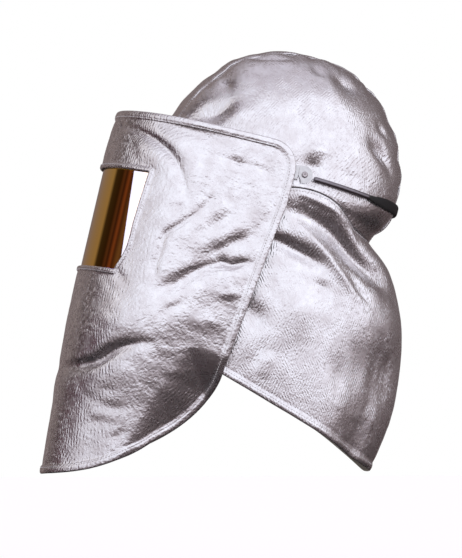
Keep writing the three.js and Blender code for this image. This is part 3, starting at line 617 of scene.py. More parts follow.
STITCH_PITCH = 3.4
STITCH_LENGTH = 2.4
STITCH_RADIUS = 0.42
STITCH_RINGS = ((0, 0, -0.25), (0.12, 0.8, 0), (0.5, 1, 0.22), (0.88, 0.8, 0), (1, 0, -0.25))


def stitches(name, starts, ends, ups, materials, sides=6):
    """Short rounded threads from starts to ends, lying on cloth whose outward way is ups."""
    run = unit(ends - starts)
    across = unit(np.cross(ups, run))
    up = np.cross(run, across)
    turn = np.linspace(0, 2 * np.pi, sides, endpoint=False)
    rings = []
    for share, size, rise in STITCH_RINGS:
        centre = mix(starts, ends, share) + up * rise
        count = sides if size else 1
        ring = np.cos(turn[:count, None, None]) * across + np.sin(turn[:count, None, None]) * up
        rings.append(centre + ring * size * STITCH_RADIUS)
    points = np.concatenate(rings)
    one = []
    for k in range(sides):
        n = (k + 1) % sides
        one.append([0, 1 + n, 1 + k])
        for first in (1, 1 + sides):
            one.append([first + k, first + n, first + sides + n, first + sides + k])
        last = 1 + 2 * sides
        one.append([last + k, last + n, last + sides])
    each = len(starts)
    faces = [[corner * each + i for corner in face] for i in range(each) for face in one]
    return make_mesh(name, points.reshape(-1, 3), faces, [0] * len(faces), materials)


def sewn(name, lines, materials):
    """One object with the stitches along several lines, each with its points and outward ways."""
    starts, ends, ups = [], [], []
    for line, up in lines:
        joined = np.concatenate([line, up], 1)
        step = np.linalg.norm(np.diff(line, axis=0), axis=1)
        way = np.concatenate([[0], np.cumsum(step)])
        at = np.arange(STITCH_PITCH, way[-1] - STITCH_PITCH, STITCH_PITCH)
        both = [np.stack([np.interp(a, way, column) for column in joined.T], 1)
                for a in (at, at + STITCH_LENGTH)]
        starts.append(both[0][:, :3])
        ends.append(both[1][:, :3])
        ups.append(unit(both[0][:, 3:] + both[1][:, 3:]))
    return stitches(name, *(np.concatenate(v) for v in (starts, ends, ups)), materials)


def placed_line(points, normals, place):
    """A line on the cloth and its outward ways, moved to the row's frame."""
    seat = place(points)
    return seat, unit(place(points + normals) - seat)


sewing = {}


# The mask's fine grid

SIDE_STATIONS = (0, 0.1, 0.35, 0.75, 1.2, 2.2, 3.6, 5.0, 6.2, 7.0, 7.8, 8.4, 9.0, 9.7)
WINDOW_STATIONS = (0, 0.1, 0.35, 0.75, 1.2, 2.2, 3.3, 4.4, 5.4, 6.0, 6.7)
MASK_HEM_STITCH = 7.0
WINDOW_STITCH = 4.4
MASK_SIZES = ((42, 1.0), (19, 0.3), (8.5, 0.1))


def mask_grid():
    """The grid's flat places, and its cut cells."""
    side, rim = np.array(SIDE_STATIONS), np.array(WINDOW_STATIONS)
    window_count = round(WINDOW_HALF_TOP / CELL)
    wing_count = round((MASK_HALF_TOP - WINDOW_HALF_TOP - side[-1] - rim[-1]) / CELL)

    def half_row(q):
        half, window = float(mask_half(q)), float(window_half(q))
        inside = np.linspace(0, window, window_count + 1)[:-1]
        wing = np.linspace(window + rim[-1], half - side[-1], wing_count + 1)[1:-1]
        return np.concatenate([inside, window + rim, wing, half - side[::-1]])

    low = WINDOW_TOP + WINDOW_HEIGHT
    above = np.linspace(side[-1], WINDOW_TOP - rim[-1], round((WINDOW_TOP - 16.4) / CELL) + 1)[1:-1]
    window_rows = np.linspace(WINDOW_TOP, low, round(WINDOW_HEIGHT / CELL) + 1)
    heights = np.concatenate([side, above, WINDOW_TOP - rim[::-1], window_rows[1:], low + rim[1:]])
    first = len(side) + len(above) + len(rim) - 1
    upper = np.array([half_row(q) for q in heights])
    upper = np.stack([upper, np.broadcast_to(heights[:, None], upper.shape)], -1)
    lowest = upper[-1]
    hem = mask_hem(np.pi / 2 * lowest[:, 0] / lowest[-1, 0])
    way = np.linalg.norm(hem - lowest, axis=1)
    count = round((way[0] - side[-1]) / CELL)
    body = np.linspace(0, 1, count + 1)[1:-1, None] * (way - side[-1])
    ends = way - side[::-1, None]
    apron = np.concatenate([body, ends])
    lower = lowest + (hem - lowest) * (apron / way)[..., None]
    right = np.concatenate([upper, lower])
    left = right[:, :0:-1] * np.array([-1, 1])
    flat = np.concatenate([left, right], 1)
    cut = np.zeros((flat.shape[0] - 1, flat.shape[1] - 1), bool)
    middle = right.shape[1] - 1
    cut[first:first + len(window_rows) - 1, middle - window_count:middle + window_count] = True
    return flat, cut


def window_gap(p, q):
    """Distance outside the window's opening."""
    beside = np.abs(p) - window_half(q)
    above = np.maximum(WINDOW_TOP - q, q - WINDOW_TOP - WINDOW_HEIGHT)
    outside = np.hypot(np.maximum(beside, 0), np.maximum(above, 0))
    return np.where((beside < 0) & (above < 0), 0, outside)


def mask_outline(step=0.25):
    """The flat outline as points close together, clockwise from the top's middle."""
    top = np.linspace(0, MASK_HALF_TOP - MASK_CORNER, 60)
    turn = np.linspace(0, np.pi / 2, 40)[1:]
    corner = np.stack([top[-1] + MASK_CORNER * np.sin(turn), MASK_CORNER * (1 - np.cos(turn))], 1)
    down = np.linspace(MASK_CORNER, MASK_SIDE_LENGTH, 120)[1:]
    edge = np.stack([mask_half(down), down], 1)
    hem = mask_hem(np.pi / 2 * (1 - np.linspace(0, 1, 400)[1:] ** 1.5))
    half = np.concatenate([np.stack([top, 0 * top], 1), corner, edge, hem])
    whole = np.concatenate([half, half[-2:0:-1] * np.array([-1, 1])])
    loop = np.concatenate([whole, whole[:1]])
    length = np.concatenate([[0], np.cumsum(np.linalg.norm(np.diff(loop, axis=0), axis=1))])
    at = np.arange(0, length[-1], step)
    return np.stack([np.interp(at, length, loop[:, k]) for k in (0, 1)], 1)


OUTLINE = mask_outline()


def outline_gap(p, q):
    tree = kdtree.KDTree(len(OUTLINE))
    for k, (a, b) in enumerate(OUTLINE.tolist()):
        tree.insert((a, b, 0), k)
    tree.balance()
    places = np.stack([p.ravel(), q.ravel()], 1).tolist()
    return np.array([tree.find((a, b, 0))[2] for a, b in places]).reshape(p.shape)


mask_creases = lay(MASK_CREASES, mask_place, 1.0)


def mask_lift(p, q, edge, rim):
    plain = plain_mask(p, q)
    sheet = np.stack([p, q, 0 * p], -1)
    lift = fold_lift(mask_creases, mirrored(plain)) - curl_depth(p, q)
    earlier = MASK_TUCK_EARLIER * smooth(np.abs(p), 135, 225)
    lift = lift + hermite(MASK_TUCK, q + earlier) * hermite(MASK_TUCK_ACROSS, np.abs(p))
    lift = lift + HEM_FLARE * np.exp(-((edge / 7) ** 2)) * smooth(curl_depth(p, q), 2, 12)
    diagonal = np.stack([(p + 0.6 * q) * 0.8, (q - 0.6 * p) * 1.15, 0 * p + 40], -1)
    calm = smooth(edge, 0, 14) * mix(0.35, 1, smooth(rim, 0, 16))
    lift = lift + wrinkles(diagonal, 20, MASK_SIZES) * mix(0.3, 1, calm)
    pucker = noise((sheet * np.array([1 / 9, 1 / 9, 1])).reshape(-1, 3) + 3.7, 61).reshape(p.shape)
    lift = lift + 0.35 * pucker * np.exp(-((edge - 9.5) / 5) ** 2)
    over_visor = smooth(124 - np.abs(p), 0, 10) * smooth(q, 44, 54) * smooth(206 - q, 0, 10)
    return np.where(lift < 0, lift * mix(1, 0.25, over_visor), lift)


def hem_rise(edge, width, stitch):
    """A rolled hem: a soft round bead, a stitch line pressed into it, and a step at its end."""
    shoulder = 1 - smooth(edge, width - 0.6, width + 0.5)
    bead = np.sin(np.pi * np.clip(edge / width, 0, 1))
    groove = np.exp(-(((edge - stitch) / 1.0) ** 2))
    beside = np.exp(-(((edge - width - 1.2) / 1.4) ** 2))
    return HEM_RAISE * shoulder * (0.75 + 1.1 * bead) - 0.38 * groove - 0.25 * beside


def mask_rise(edge, rim):
    return hem_rise(edge, HEM_WIDTH, MASK_HEM_STITCH) + hem_rise(rim, WINDOW_HEM, WINDOW_STITCH)


def mask_stitch_lines():
    """Flat lines along which the hem and the window's hem are sewn."""
    run = unit(np.roll(OUTLINE, -1, 0) - np.roll(OUTLINE, 1, 0))
    hem = OUTLINE + MASK_HEM_STITCH * np.stack([-run[:, 1], run[:, 0]], 1)
    low = WINDOW_TOP + WINDOW_HEIGHT
    down = np.linspace(WINDOW_TOP - WINDOW_STITCH, low + WINDOW_STITCH, 300)
    side = np.stack([window_half(down) + WINDOW_STITCH, down], 1)
    top = np.linspace(-side[0, 0], side[0, 0], 400)
    bottom = np.linspace(side[-1, 0], -side[-1, 0], 400)
    window = np.concatenate([
        np.stack([top, 0 * top + down[0]], 1), side,
        np.stack([bottom, 0 * bottom + down[-1]], 1), side[::-1] * np.array([-1, 1]),
    ])
    return hem, window


def mask_line(line):
    p, q = line[None, :, 0], line[None, :, 1]
    edge, rim = outline_gap(p, q), window_gap(p, q)
    normal = mask_section(p)[2]
    points = plain_mask(p, q) + normal * (mask_lift(p, q, edge, rim) + mask_rise(edge, rim))[..., None]
    return placed_line(points[0], normal[0], shield_in_row)


def face_mask(materials):
    flat, cut = mask_grid()
    p, q = flat[..., 0], flat[..., 1]
    edge, rim = outline_gap(p, q), window_gap(p, q)
    normal = mask_section(p)[2]
    lift = mask_lift(p, q, edge, rim)
    rise = mask_rise(edge, rim)
    near = np.minimum(edge, rim)
    sewing["face_mask"] = [mask_line(line) for line in mask_stitch_lines()]
    return cloth_shell(
        "face_mask_cloth", plain_mask(p, q), normal, lift, rise, near, materials, shield_in_row, cut,
    )


# The crown's fine grids

SEAM_STATIONS = (0, 0.1, 0.35, 0.75, 1.2, 2.2, 3.2, 4.2)
CROWN_SIZES = ((46, 1.4), (21, 0.42), (9, 0.14))
CROWN_STITCH = 3.2
CROWN_LUMP = 2.6

crown_creases = lay(CROWN_CREASES, crown_place, 1.0)


def section_lengths(angle=100.0, count=2000):
    """Sides in degrees and their distances from the middle plane, at one angle."""
    sides = np.linspace(0, 90, count)
    points = plain_crown(angle, sides)
    steps = np.linalg.norm(np.diff(points, axis=0), axis=1)
    return sides, np.concatenate([[0], np.cumsum(steps)])


SIDES, SIDE_LENGTHS = section_lengths()


def crown_lift(plain, seam, rim, seed):
    mirror = mirrored(plain)
    lift = fold_lift(crown_folds, mirror) * (1 - smooth(rim, 0, 14))
    extra = fold_lift(crown_creases, mirror)
    extra = extra + wrinkles(plain * np.array([1, 1.1, 0.9]), seed, CROWN_SIZES)
    along = (plain * np.array([0.0, 1 / 15, 1 / 15])).reshape(-1, 3)
    pucker = noise(along + seed * 1.3, seed + 60).reshape(seam.shape)
    extra = extra + 1.5 * pucker * np.exp(-((seam - 2) / 15) ** 2)
    lumps = noise((plain * np.array([0, 1 / 31, 1 / 31])).reshape(-1, 3) + 5.1, 70).reshape(seam.shape)
    extra = extra + CROWN_LUMP * lumps * np.exp(-((plain[..., 0] / 62) ** 2))
    extra = extra - 0.5 * np.exp(-seam / 2.2) - 0.25 * np.exp(-(((seam - CROWN_STITCH) / 0.9) ** 2))
    return lift + extra * smooth(rim, 0, 7)


def crown_panel(name, sign, materials):
    top = float(side_at(GUSSET_HALF + SEAM_GAP / 2))
    start = float(np.interp(top, SIDES, SIDE_LENGTHS))
    ways = stations(SIDE_LENGTHS[-1] - start, start=SEAM_STATIONS, end=(0, 0.6, 1.5))
    sides = np.interp(start + ways, SIDE_LENGTHS, SIDES)
    sides[-1] = 90
    span = math.radians(NAPE_ANGLE) * CROWN_REACH
    shares = stations(span, end=(0, 0.1, 0.35, 0.75, 1.2, 2.2, 3.2, 4.2)) / span
    brow, nape = brow_angle(sides)[:, None], nape_angle(sides)[:, None]
    angles = mix(brow, nape, shares)
    side = np.broadcast_to(sides[:, None], angles.shape)
    plain = plain_crown(angles, side)
    normal = crown_normal(angles, side)
    seam = np.broadcast_to(ways[:, None], angles.shape)
    across = line_lengths(plain, 1)
    rim = np.minimum(across, across[:, -1:] - across)
    lift = crown_lift(plain * np.array([sign, 1, 1]), seam, rim, 100 if sign > 0 else 140)
    plain, normal = (v * np.array([sign, 1, 1]) for v in (plain, normal))
    rise = np.zeros_like(lift)
    row = int(np.abs(ways - CROWN_STITCH).argmin())
    skin = plain + normal * lift[..., None]
    sewing[name] = [placed_line(skin[row, 3:-3], normal[row, 3:-3], in_row)]
    edge = np.minimum(seam, np.where(rim < 4, rim, 9))
    edge[-1] = 0
    return cloth_shell(name, plain, normal, lift, rise, edge, materials, in_row, None, True)


def crown_strip(name, materials):
    half = float(side_at(GUSSET_HALF - SEAM_GAP / 2))
    width = float(np.interp(half, SIDES, SIDE_LENGTHS))
    ways = stations(2 * width, start=SEAM_STATIONS, end=SEAM_STATIONS) - width
    sides = np.sign(ways) * np.interp(np.abs(ways), SIDE_LENGTHS, SIDES)
    span = math.radians(NAPE_ANGLE) * CROWN_REACH
    shares = stations(span, start=(0, 0.1, 0.35, 0.75, 1.2, 2.2, 3.2, 4.2))[:, None] / span
    angles = mix(nape_angle(sides), brow_angle(sides), shares)
    side = np.broadcast_to(sides, angles.shape)
    plain = plain_crown(angles, side)
    normal = crown_normal(angles, side)
    seam = np.broadcast_to(width - np.abs(ways), angles.shape)
    down = line_lengths(plain, 0)
    rim = np.minimum(down, down[-1:] - down)
    lift = crown_lift(plain, seam, rim, 180)
    skin = plain + normal * lift[..., None]
    columns = [int(np.abs(width - np.abs(ways) - CROWN_STITCH + 9 * (ways * way < 0)).argmin())
               for way in (-1, 1)]
    sewing[name] = [placed_line(skin[3:-3, k], normal[3:-3, k], in_row) for k in columns]
    return cloth_shell(name, plain, normal, lift, 0 * lift, np.minimum(seam, rim), materials, in_row)


# The cape's fine grid

CAPE_HEM_STATIONS = (0, 0.1, 0.35, 0.75, 1.2, 2.2, 3.6, 5.0, 6.2, 7.0, 7.8, 8.4, 9.0, 9.7)
CAPE_SIZES = ((44, 1.1), (20, 0.4), (9, 0.18))
CAPE_SEAM_STITCH = 3.2

cape_creases = lay(CAPE_CREASES, plain_cape, 1.0)


def cape_grid():
    fine = np.linspace(-1, 1, 1201)
    line = plain_cape(fine, np.full_like(fine, 0.55))
    length = np.concatenate([[0], np.cumsum(np.linalg.norm(np.diff(line, axis=0), axis=1))])
    rounds = np.interp(stations(length[-1]), length, fine)
    downs = np.linspace(0, 1, 161)
    column = plain_cape(rounds[None, :], downs[:, None])
    ways = line_lengths(column, 0)
    whole = ways[-1]
    top, low = np.array(SEAM_STATIONS), np.array(CAPE_HEM_STATIONS)
    count = round((whole.max() - top[-1] - low[-1]) / CELL)
    share = np.linspace(0, 1, count + 1)[1:-1, None]
    body = top[-1] + share * (whole - top[-1] - low[-1])
    at = np.concatenate([top[:, None] + 0 * whole, body, whole - low[::-1, None]])
    down = np.stack([np.interp(at[:, k], ways[:, k], downs) for k in range(len(rounds))], 1)
    return np.broadcast_to(rounds, down.shape), down, at, whole - at


def cape_cloth(materials):
    way_round, down, from_top, from_hem = cape_grid()
    plain = plain_cape(way_round, down)
    own = grid_normals(plain)
    own = own * np.sign((own * (plain - np.array([0, 0, -200]))).sum(-1).mean())
    seam_normal = crown_edge(way_round[0])[1]
    normal = unit(mix(seam_normal, own, smooth(from_top, 0, 8)[..., None]))
    mirror = plain_cape(np.abs(way_round), down)
    extra = fold_lift(cape_creases, mirror)
    extra = extra + wrinkles(plain * np.array([1, 1, 0.7]), 220, CAPE_SIZES)
    along = np.stack([way_round * 30, 0 * down, from_top / 40], -1).reshape(-1, 3)
    pucker = noise(along, 290).reshape(down.shape)
    extra = extra + 0.8 * pucker * np.exp(-((from_top - 3) / 10) ** 2)
    extra = extra + 0.35 * pucker * np.exp(-((from_hem - 9.5) / 6) ** 2)
    extra = extra - 0.3 * np.exp(-(((from_top - CAPE_SEAM_STITCH) / 0.9) ** 2))
    lift = extra * smooth(from_top, 0, 6)
    rise = hem_rise(from_hem, HEM_WIDTH, MASK_HEM_STITCH)
    across = line_lengths(plain, 1)
    front = np.minimum(across, across[:, -1:] - across)
    edge = np.minimum(np.minimum(from_top, from_hem), front)
    skin = plain + normal * (lift + rise)[..., None]
    rows = [int(np.abs(gap[:, 0] - at).argmin())
            for gap, at in ((from_top, CAPE_SEAM_STITCH), (from_hem, MASK_HEM_STITCH))]
    sewing["neck_cape"] = [placed_line(skin[k, 3:-3], normal[k, 3:-3], in_row) for k in rows]
    return cloth_shell("neck_cape_cloth", plain, normal, lift, rise, edge, materials, in_row)


# The visor, its frame, the band and the rods

def lined(name, half, edges_at, inset, thickness, materials, cell=3.0):
    """A strip behind the mask, bent as the mask is."""
    ways = stations(2 * half, cell) - half
    from_q, to_q = edges_at(np.abs(ways))
    wide = float((to_q - from_q).max())
    shares = stations(wide, cell)[:, None] / wide
    q = mix(from_q, to_q, shares)
    p = np.broadcast_to(ways, q.shape)
    z = EAR_BELOW_TOP - q
    skins = []
    for depth in (inset, inset + thickness):
        x, y, _ = mask_section(p, depth)
        skins.append(np.stack([x, y - EAR_DEPTH, z], -1))
    outer, inner = skins
    side = half - np.abs(p)
    height = np.minimum(q - from_q, to_q - q)
    share = bullnose(np.minimum(side, height), thickness / 2)[..., None]
    middle, spread = (outer + inner) / 2, (outer - inner) / 2
    skins = shield_in_row(middle + spread * share), shield_in_row(middle - spread * share)
    return shell(name, *skins, materials)


def visor(materials):
    top, low = WINDOW_TOP - VISOR_MARGIN_TOP, WINDOW_TOP + WINDOW_HEIGHT + VISOR_MARGIN_LOW
    half = WINDOW_HALF_TOP + VISOR_MARGIN_SIDE
    edges = lambda p: (top + 0 * p, low + 0 * p)
    return lined("gold_visor_lens", half, edges, VISOR_INSET, VISOR, materials)


def visor_frame(materials):
    def edges(p):
        middle = EAR_BELOW_TOP + FRAME_DIP * (1 - smooth(p, WINDOW_HALF_TOP, BEND_LENGTH))
        return middle - FRAME_HEIGHT / 2, middle + FRAME_HEIGHT / 2
    return lined("visor_frame_strip", EAR_WAY - FRAME_END, edges, FRAME_INSET, FRAME, materials)


def band_point(side, lift):
    """Where the crown meets the plane of the rods and the band, raised by lift."""
    slope = math.tan(math.radians(BAND_TILT))
    way = np.abs(side)
    above, below = np.full_like(way, 100.0), np.full_like(way, NAPE_ANGLE)
    for _ in range(40):
        middle = (above + below) / 2
        point = plain_crown(middle, way)
        high = point[..., 2] - BAND_RISE + slope * (point[..., 1] - EAR_BACK) > 0
        above, below = np.where(high, middle, above), np.where(high, below, middle)
    point = plain_crown(above, way) + crown_normal(above, way) * np.asarray(lift)[..., None]
    point[..., 0] *= np.where(side < 0, -1, 1)
    return point


def swept(name, line, section_at, materials, caps=True):
    """A tube along a line; section_at gives the offsets of its rings."""
    count, sides = len(line), len(section_at[0])
    points = [p for ring in section_at for p in ring]
    faces = []
    for k in range(count - 1):
        for i in range(sides):
            a, b = k * sides + i, k * sides + (i + 1) % sides
            faces.append([a, b, b + sides, a + sides])
    for ring, flip in ((0, True), (count - 1, False)):
        points.append(np.mean(section_at[ring], 0))
        centre = len(points) - 1
        for i in range(sides):
            corners = [ring * sides + i, ring * sides + (i + 1) % sides, centre]
            faces.append(corners[::-1] if flip else corners)
    points = np.array(points)
    if enclosed(points, faces) < 0:
        faces = [face[::-1] for face in faces]
    return make_mesh(name, points, faces, [0] * len(faces), materials)


ROD_THICKNESS = 6.2


def rod(name, sign, materials, sides=20):
    ways = np.linspace(ROD_FRONT_ANGLE, BAND_END_ANGLE + ROD_SETBACK_ANGLE, 50)
    line = band_point(ways, np.full_like(ways, BAND_CLEARANCE + ROD_RADIUS))
    line[:, 0] *= sign
    line = in_row(line)
    run = unit(np.gradient(line, axis=0))
    across = unit(np.cross(run, np.array([0, 0, 1.0])))
    up = np.cross(across, run)
    length = line_lengths(line[None], 1)[0]
    end = np.minimum(length, length[-1] - length)
    size = ROD_THICKNESS / 2 * (0.75 + 0.25 * np.sqrt(np.clip(end / 1.2, 0, 1)))
    turn = np.linspace(0, 2 * np.pi, sides, endpoint=False)
    ring = np.cos(turn)[:, None, None] * across + np.sin(turn)[:, None, None] * up
    rings = line + ring * size[:, None]
    return swept(name, line, rings.transpose(1, 0, 2), materials)


def rubber_band(materials, sides=28):
    ways = BAND_END_ANGLE * np.sin(np.linspace(-np.pi / 2, np.pi / 2, 150))
    low = band_point(ways, np.full_like(ways, BAND_CLEARANCE))
    high = band_point(ways, np.full_like(ways, BAND_CLEARANCE + BAND))
    tilt = math.radians(BAND_TILT)
    up = np.array([0, math.sin(tilt), math.cos(tilt)])
    out = unit(high - low)
    middle = in_row((low + high) / 2)
    length = line_lengths(middle[None], 1)[0]
    from_end = np.minimum(length, length[-1] - length)
    end = np.clip(from_end / 4.0, 0, 1)
    size = (np.sqrt(1 - (1 - end) ** 2) * 0.98 + 0.02) * mix(0.5, 1, smooth(from_end, 0, 34))
    turn = np.linspace(0, 2 * np.pi, sides, endpoint=False)
    wide = BAND_WIDTH / 2 * power(np.cos(turn), 0.6)
    thick = BAND / 2 * power(np.sin(turn), 0.75)
    rings = middle + size[:, None] * wide[:, None, None] * up + thick[:, None, None] * out
    return swept("rear_band_rubber", middle, rings.transpose(1, 0, 2), materials)


# Materials

def node_material(name):
    material = bpy.data.materials.new(name)
    material.use_nodes = True
    nodes, links = material.node_tree.nodes, material.node_tree.links
    shader = nodes["Principled BSDF"]
    return material, nodes, links, shader


def noise_node(nodes, links, place, scale, detail=2.0, rough=0.5, distortion=0.0):
    node = nodes.new("ShaderNodeTexNoise")
    node.inputs["Scale"].default_value = scale
    node.inputs["Detail"].default_value = detail
    node.inputs["Roughness"].default_value = rough
    node.inputs["Distortion"].default_value = distortion
    links.new(place, node.inputs["Vector"])
    return node.outputs["Fac"]


def bump_node(nodes, links, height, distance, strength, before=None):
    node = nodes.new("ShaderNodeBump")
    node.inputs["Distance"].default_value = distance
    node.inputs["Strength"].default_value = strength
    links.new(height, node.inputs["Height"])
    if before is not None:
        links.new(before, node.inputs["Normal"])
    return node.outputs["Normal"]


def ramp_node(nodes, links, value, stops):
    node = nodes.new("ShaderNodeValToRGB")
    ramp = node.color_ramp
    while len(ramp.elements) < len(stops):
        ramp.elements.new(0.5)
    for element, (place, colour) in zip(ramp.elements, stops):
        element.position = place
        element.color = (*colour, 1)
    links.new(value, node.inputs["Fac"])
    return node.outputs["Color"]


def grain_place(nodes, links, turn, stretch):
    place = nodes.new("ShaderNodeTexCoord").outputs["Object"]
    mapping = nodes.new("ShaderNodeMapping")
    mapping.inputs["Rotation"].default_value = turn
    mapping.inputs["Scale"].default_value = stretch
    links.new(place, mapping.inputs["Vector"])
    return place, mapping.outputs["Vector"]


def wave_node(nodes, links, place, scale, distortion):
    node = nodes.new("ShaderNodeTexWave")
    node.inputs["Scale"].default_value = scale
    node.inputs["Distortion"].default_value = distortion
    node.inputs["Detail"].default_value = 2.0
    node.inputs["Detail Scale"].default_value = 1.6
    links.new(place, node.inputs["Vector"])
    return node.outputs["Fac"]


def blend_node(nodes, links, share, a, b, kind="MIX"):
    node = nodes.new("ShaderNodeMix")
    node.data_type = "RGBA"
    node.blend_type = kind
    links.new(share, node.inputs["Factor"])
    links.new(a, node.inputs[6])
    links.new(b, node.inputs[7])
    return node.outputs[2]


def aluminized(name, turn, other_turn, seed):
    """Foil on a twill: two slants of fine ribs that take turns in patches, and small crinkles."""
    material, nodes, links, shader = node_material(name)
    place, turned = grain_place(nodes, links, turn, (1.0, 1.0, 1.0))
    other = grain_place(nodes, links, other_turn, (1.0, 1.0, 1.0))[1]
    patches = noise_node(nodes, links, place, 60 + seed, 4, 0.65)
    colour = ramp_node(nodes, links, patches, ((0.3, (0.78, 0.75, 0.77)), (0.65, (0.92, 0.92, 0.95))))
    links.new(colour, shader.inputs["Base Color"])
    rough = ramp_node(nodes, links, patches, ((0.3, (0.3,) * 3), (0.7, (0.23,) * 3)))
    links.new(rough, shader.inputs["Roughness"])
    shader.inputs["Metallic"].default_value = 0.97
    crinkle = noise_node(nodes, links, place, 330, 2, 0.5, 0.2)
    ribs = wave_node(nodes, links, turned, 118, 3.2)
    cross = wave_node(nodes, links, other, 126, 3.2)
    sides = ramp_node(nodes, links, noise_node(nodes, links, place, 42 + seed, 2), ((0.44, (0,) * 3), (0.56, (1,) * 3)))
    twill = blend_node(nodes, links, sides, ribs, cross)
    breaks = ramp_node(nodes, links, noise_node(nodes, links, place, 250, 1), ((0.4, (0,) * 3), (0.6, (1,) * 3)))
    level_grey = nodes.new("ShaderNodeMix")
    level_grey.data_type = "RGBA"
    level_grey.inputs[7].default_value = (0.5, 0.5, 0.5, 1)
    links.new(breaks, level_grey.inputs["Factor"])
    links.new(twill, level_grey.inputs[6])
    twill = level_grey.outputs[2]
    normal = bump_node(nodes, links, crinkle, 0.0012, 0.34)
    normal = bump_node(nodes, links, twill, 0.0005, 0.6, normal)
    links.new(normal, shader.inputs["Normal"])
    return material


def woven_back(name):
    material, nodes, links, shader = node_material(name)
    place = nodes.new("ShaderNodeTexCoord").outputs["Object"]
    threads = noise_node(nodes, links, place, 900, 2, 0.6)
    colour = ramp_node(nodes, links, threads, ((0.3, (0.14, 0.125, 0.105)), (0.7, (0.25, 0.23, 0.195))))
    links.new(colour, shader.inputs["Base Color"])
    shader.inputs["Roughness"].default_value = 0.9
    links.new(bump_node(nodes, links, threads, 0.0005, 0.6), shader.inputs["Normal"])
    return material


def thread(name):
    material, nodes, links, shader = node_material(name)
    place = nodes.new("ShaderNodeTexCoord").outputs["Object"]
    strands = noise_node(nodes, links, place, 1400, 1, 0.5)
    colour = ramp_node(nodes, links, strands, ((0.3, (0.4, 0.37, 0.38)), (0.7, (0.62, 0.59, 0.6))))
    links.new(colour, shader.inputs["Base Color"])
    shader.inputs["Roughness"].default_value = 0.6
    links.new(bump_node(nodes, links, strands, 0.0002, 0.5), shader.inputs["Normal"])
    return material


def gold_glass(name):
    material, nodes, links, shader = node_material(name)
    place = nodes.new("ShaderNodeTexCoord").outputs["Object"]
    haze = noise_node(nodes, links, place, 9, 2, 0.5)
    colour = ramp_node(nodes, links, haze, ((0.3, (0.92, 0.54, 0.06)), (0.7, (0.96, 0.6, 0.08))))
    links.new(colour, shader.inputs["Base Color"])
    shader.inputs["Metallic"].default_value = 1.0
    shader.inputs["Roughness"].default_value = 0.025
    shader.inputs["Coat Weight"].default_value = 1.0
    shader.inputs["Coat IOR"].default_value = 1.3
    shader.inputs["Coat Roughness"].default_value = 0.03
    return material


def metal(name, colour, rough):
    material, nodes, links, shader = node_material(name)
    place = nodes.new("ShaderNodeTexCoord").outputs["Object"]
    wear = noise_node(nodes, links, place, 260, 3, 0.6)
    dark = tuple(0.82 * c for c in colour)
    tint = ramp_node(nodes, links, wear, ((0.3, dark), (0.7, colour)))
    links.new(tint, shader.inputs["Base Color"])
    shader.inputs["Metallic"].default_value = 1.0
    shader.inputs["Roughness"].default_value = rough
    links.new(bump_node(nodes, links, wear, 0.0003, 0.3), shader.inputs["Normal"])
    return material


def black_rubber(name):
    material, nodes, links, shader = node_material(name)
    place = nodes.new("ShaderNodeTexCoord").outputs["Object"]
    grain = noise_node(nodes, links, place, 700, 2, 0.6)
    colour = ramp_node(nodes, links, grain, ((0.3, (0.008, 0.008, 0.009)), (0.7, (0.016, 0.016, 0.017))))
    links.new(colour, shader.inputs["Base Color"])
    shader.inputs["Roughness"].default_value = 0.55
    links.new(bump_node(nodes, links, grain, 0.0003, 0.5), shader.inputs["Normal"])
    return material


# Building

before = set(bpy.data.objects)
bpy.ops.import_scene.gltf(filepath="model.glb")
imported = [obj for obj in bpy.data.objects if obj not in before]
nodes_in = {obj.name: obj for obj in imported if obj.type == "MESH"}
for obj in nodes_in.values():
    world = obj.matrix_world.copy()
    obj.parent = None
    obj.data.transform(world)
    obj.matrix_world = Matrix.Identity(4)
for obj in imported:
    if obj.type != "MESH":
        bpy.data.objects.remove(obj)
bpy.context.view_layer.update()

back_cloth = woven_back("woven_backing")
mask_cloth = aluminized("aluminized_mask", (0.7, 0.0, 0.0), (-0.9, 0.0, 0.3), 0)
crown_cloth = aluminized("aluminized_crown", (0.0, 0.0, 0.9), (0.6, 0.0, -0.9), 2)
cape_material = aluminized("aluminized_cape", (0.0, 0.6, 1.0), (0.0, -0.7, 1.0), 4)
gold = gold_glass("gold_coating")
grey_thread = thread("grey_thread")
bracket_metal = metal("bracket_metal", (0.78, 0.78, 0.8), 0.32)
rod_metal = metal("rod_metal", (0.3, 0.28, 0.31), 0.36)
rivet_metal = metal("rivet_metal", (0.6, 0.56, 0.58), 0.3)
rubber = black_rubber("band_rubber")

made = {}


def add(obj, node):
    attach(obj, "root")
    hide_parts(node)
    made[node] = obj
    return obj


add(face_mask([mask_cloth, back_cloth]), "face_mask")
add(crown_panel("crown_side_left_cloth", 1, [crown_cloth, back_cloth]), "crown_side_left")
add(crown_panel("crown_side_right_cloth", -1, [crown_cloth, back_cloth]), "crown_side_right")
add(crown_strip("crown_gusset_cloth", [crown_cloth, back_cloth]), "crown_gusset")
add(cape_cloth([cape_material, back_cloth]), "neck_cape")
add(visor([gold]), "gold_visor")
add(visor_frame([bracket_metal]), "visor_frame")
add(rubber_band([rubber]), "rear_band")
add(rod("bracket_rod_left_tube", 1, [rod_metal]), "bracket_rod_left")
add(rod("bracket_rod_right_tube", -1, [rod_metal]), "bracket_rod_right")

for node, material, slot in (
    ("ear_plate_left", bracket_metal, "bracket_metal"),
    ("ear_plate_right", bracket_metal, "bracket_metal"),
    ("rivet_left", rivet_metal, "rod_metal"),
    ("rivet_right", rivet_metal, "rod_metal"),
):
    part = nodes_in[node]
    part.data.materials.clear()
    part.data.materials.append(material)
    bevel = part.modifiers.new("edges", "BEVEL")
    bevel.width = 0.0003
    bevel.segments = 2

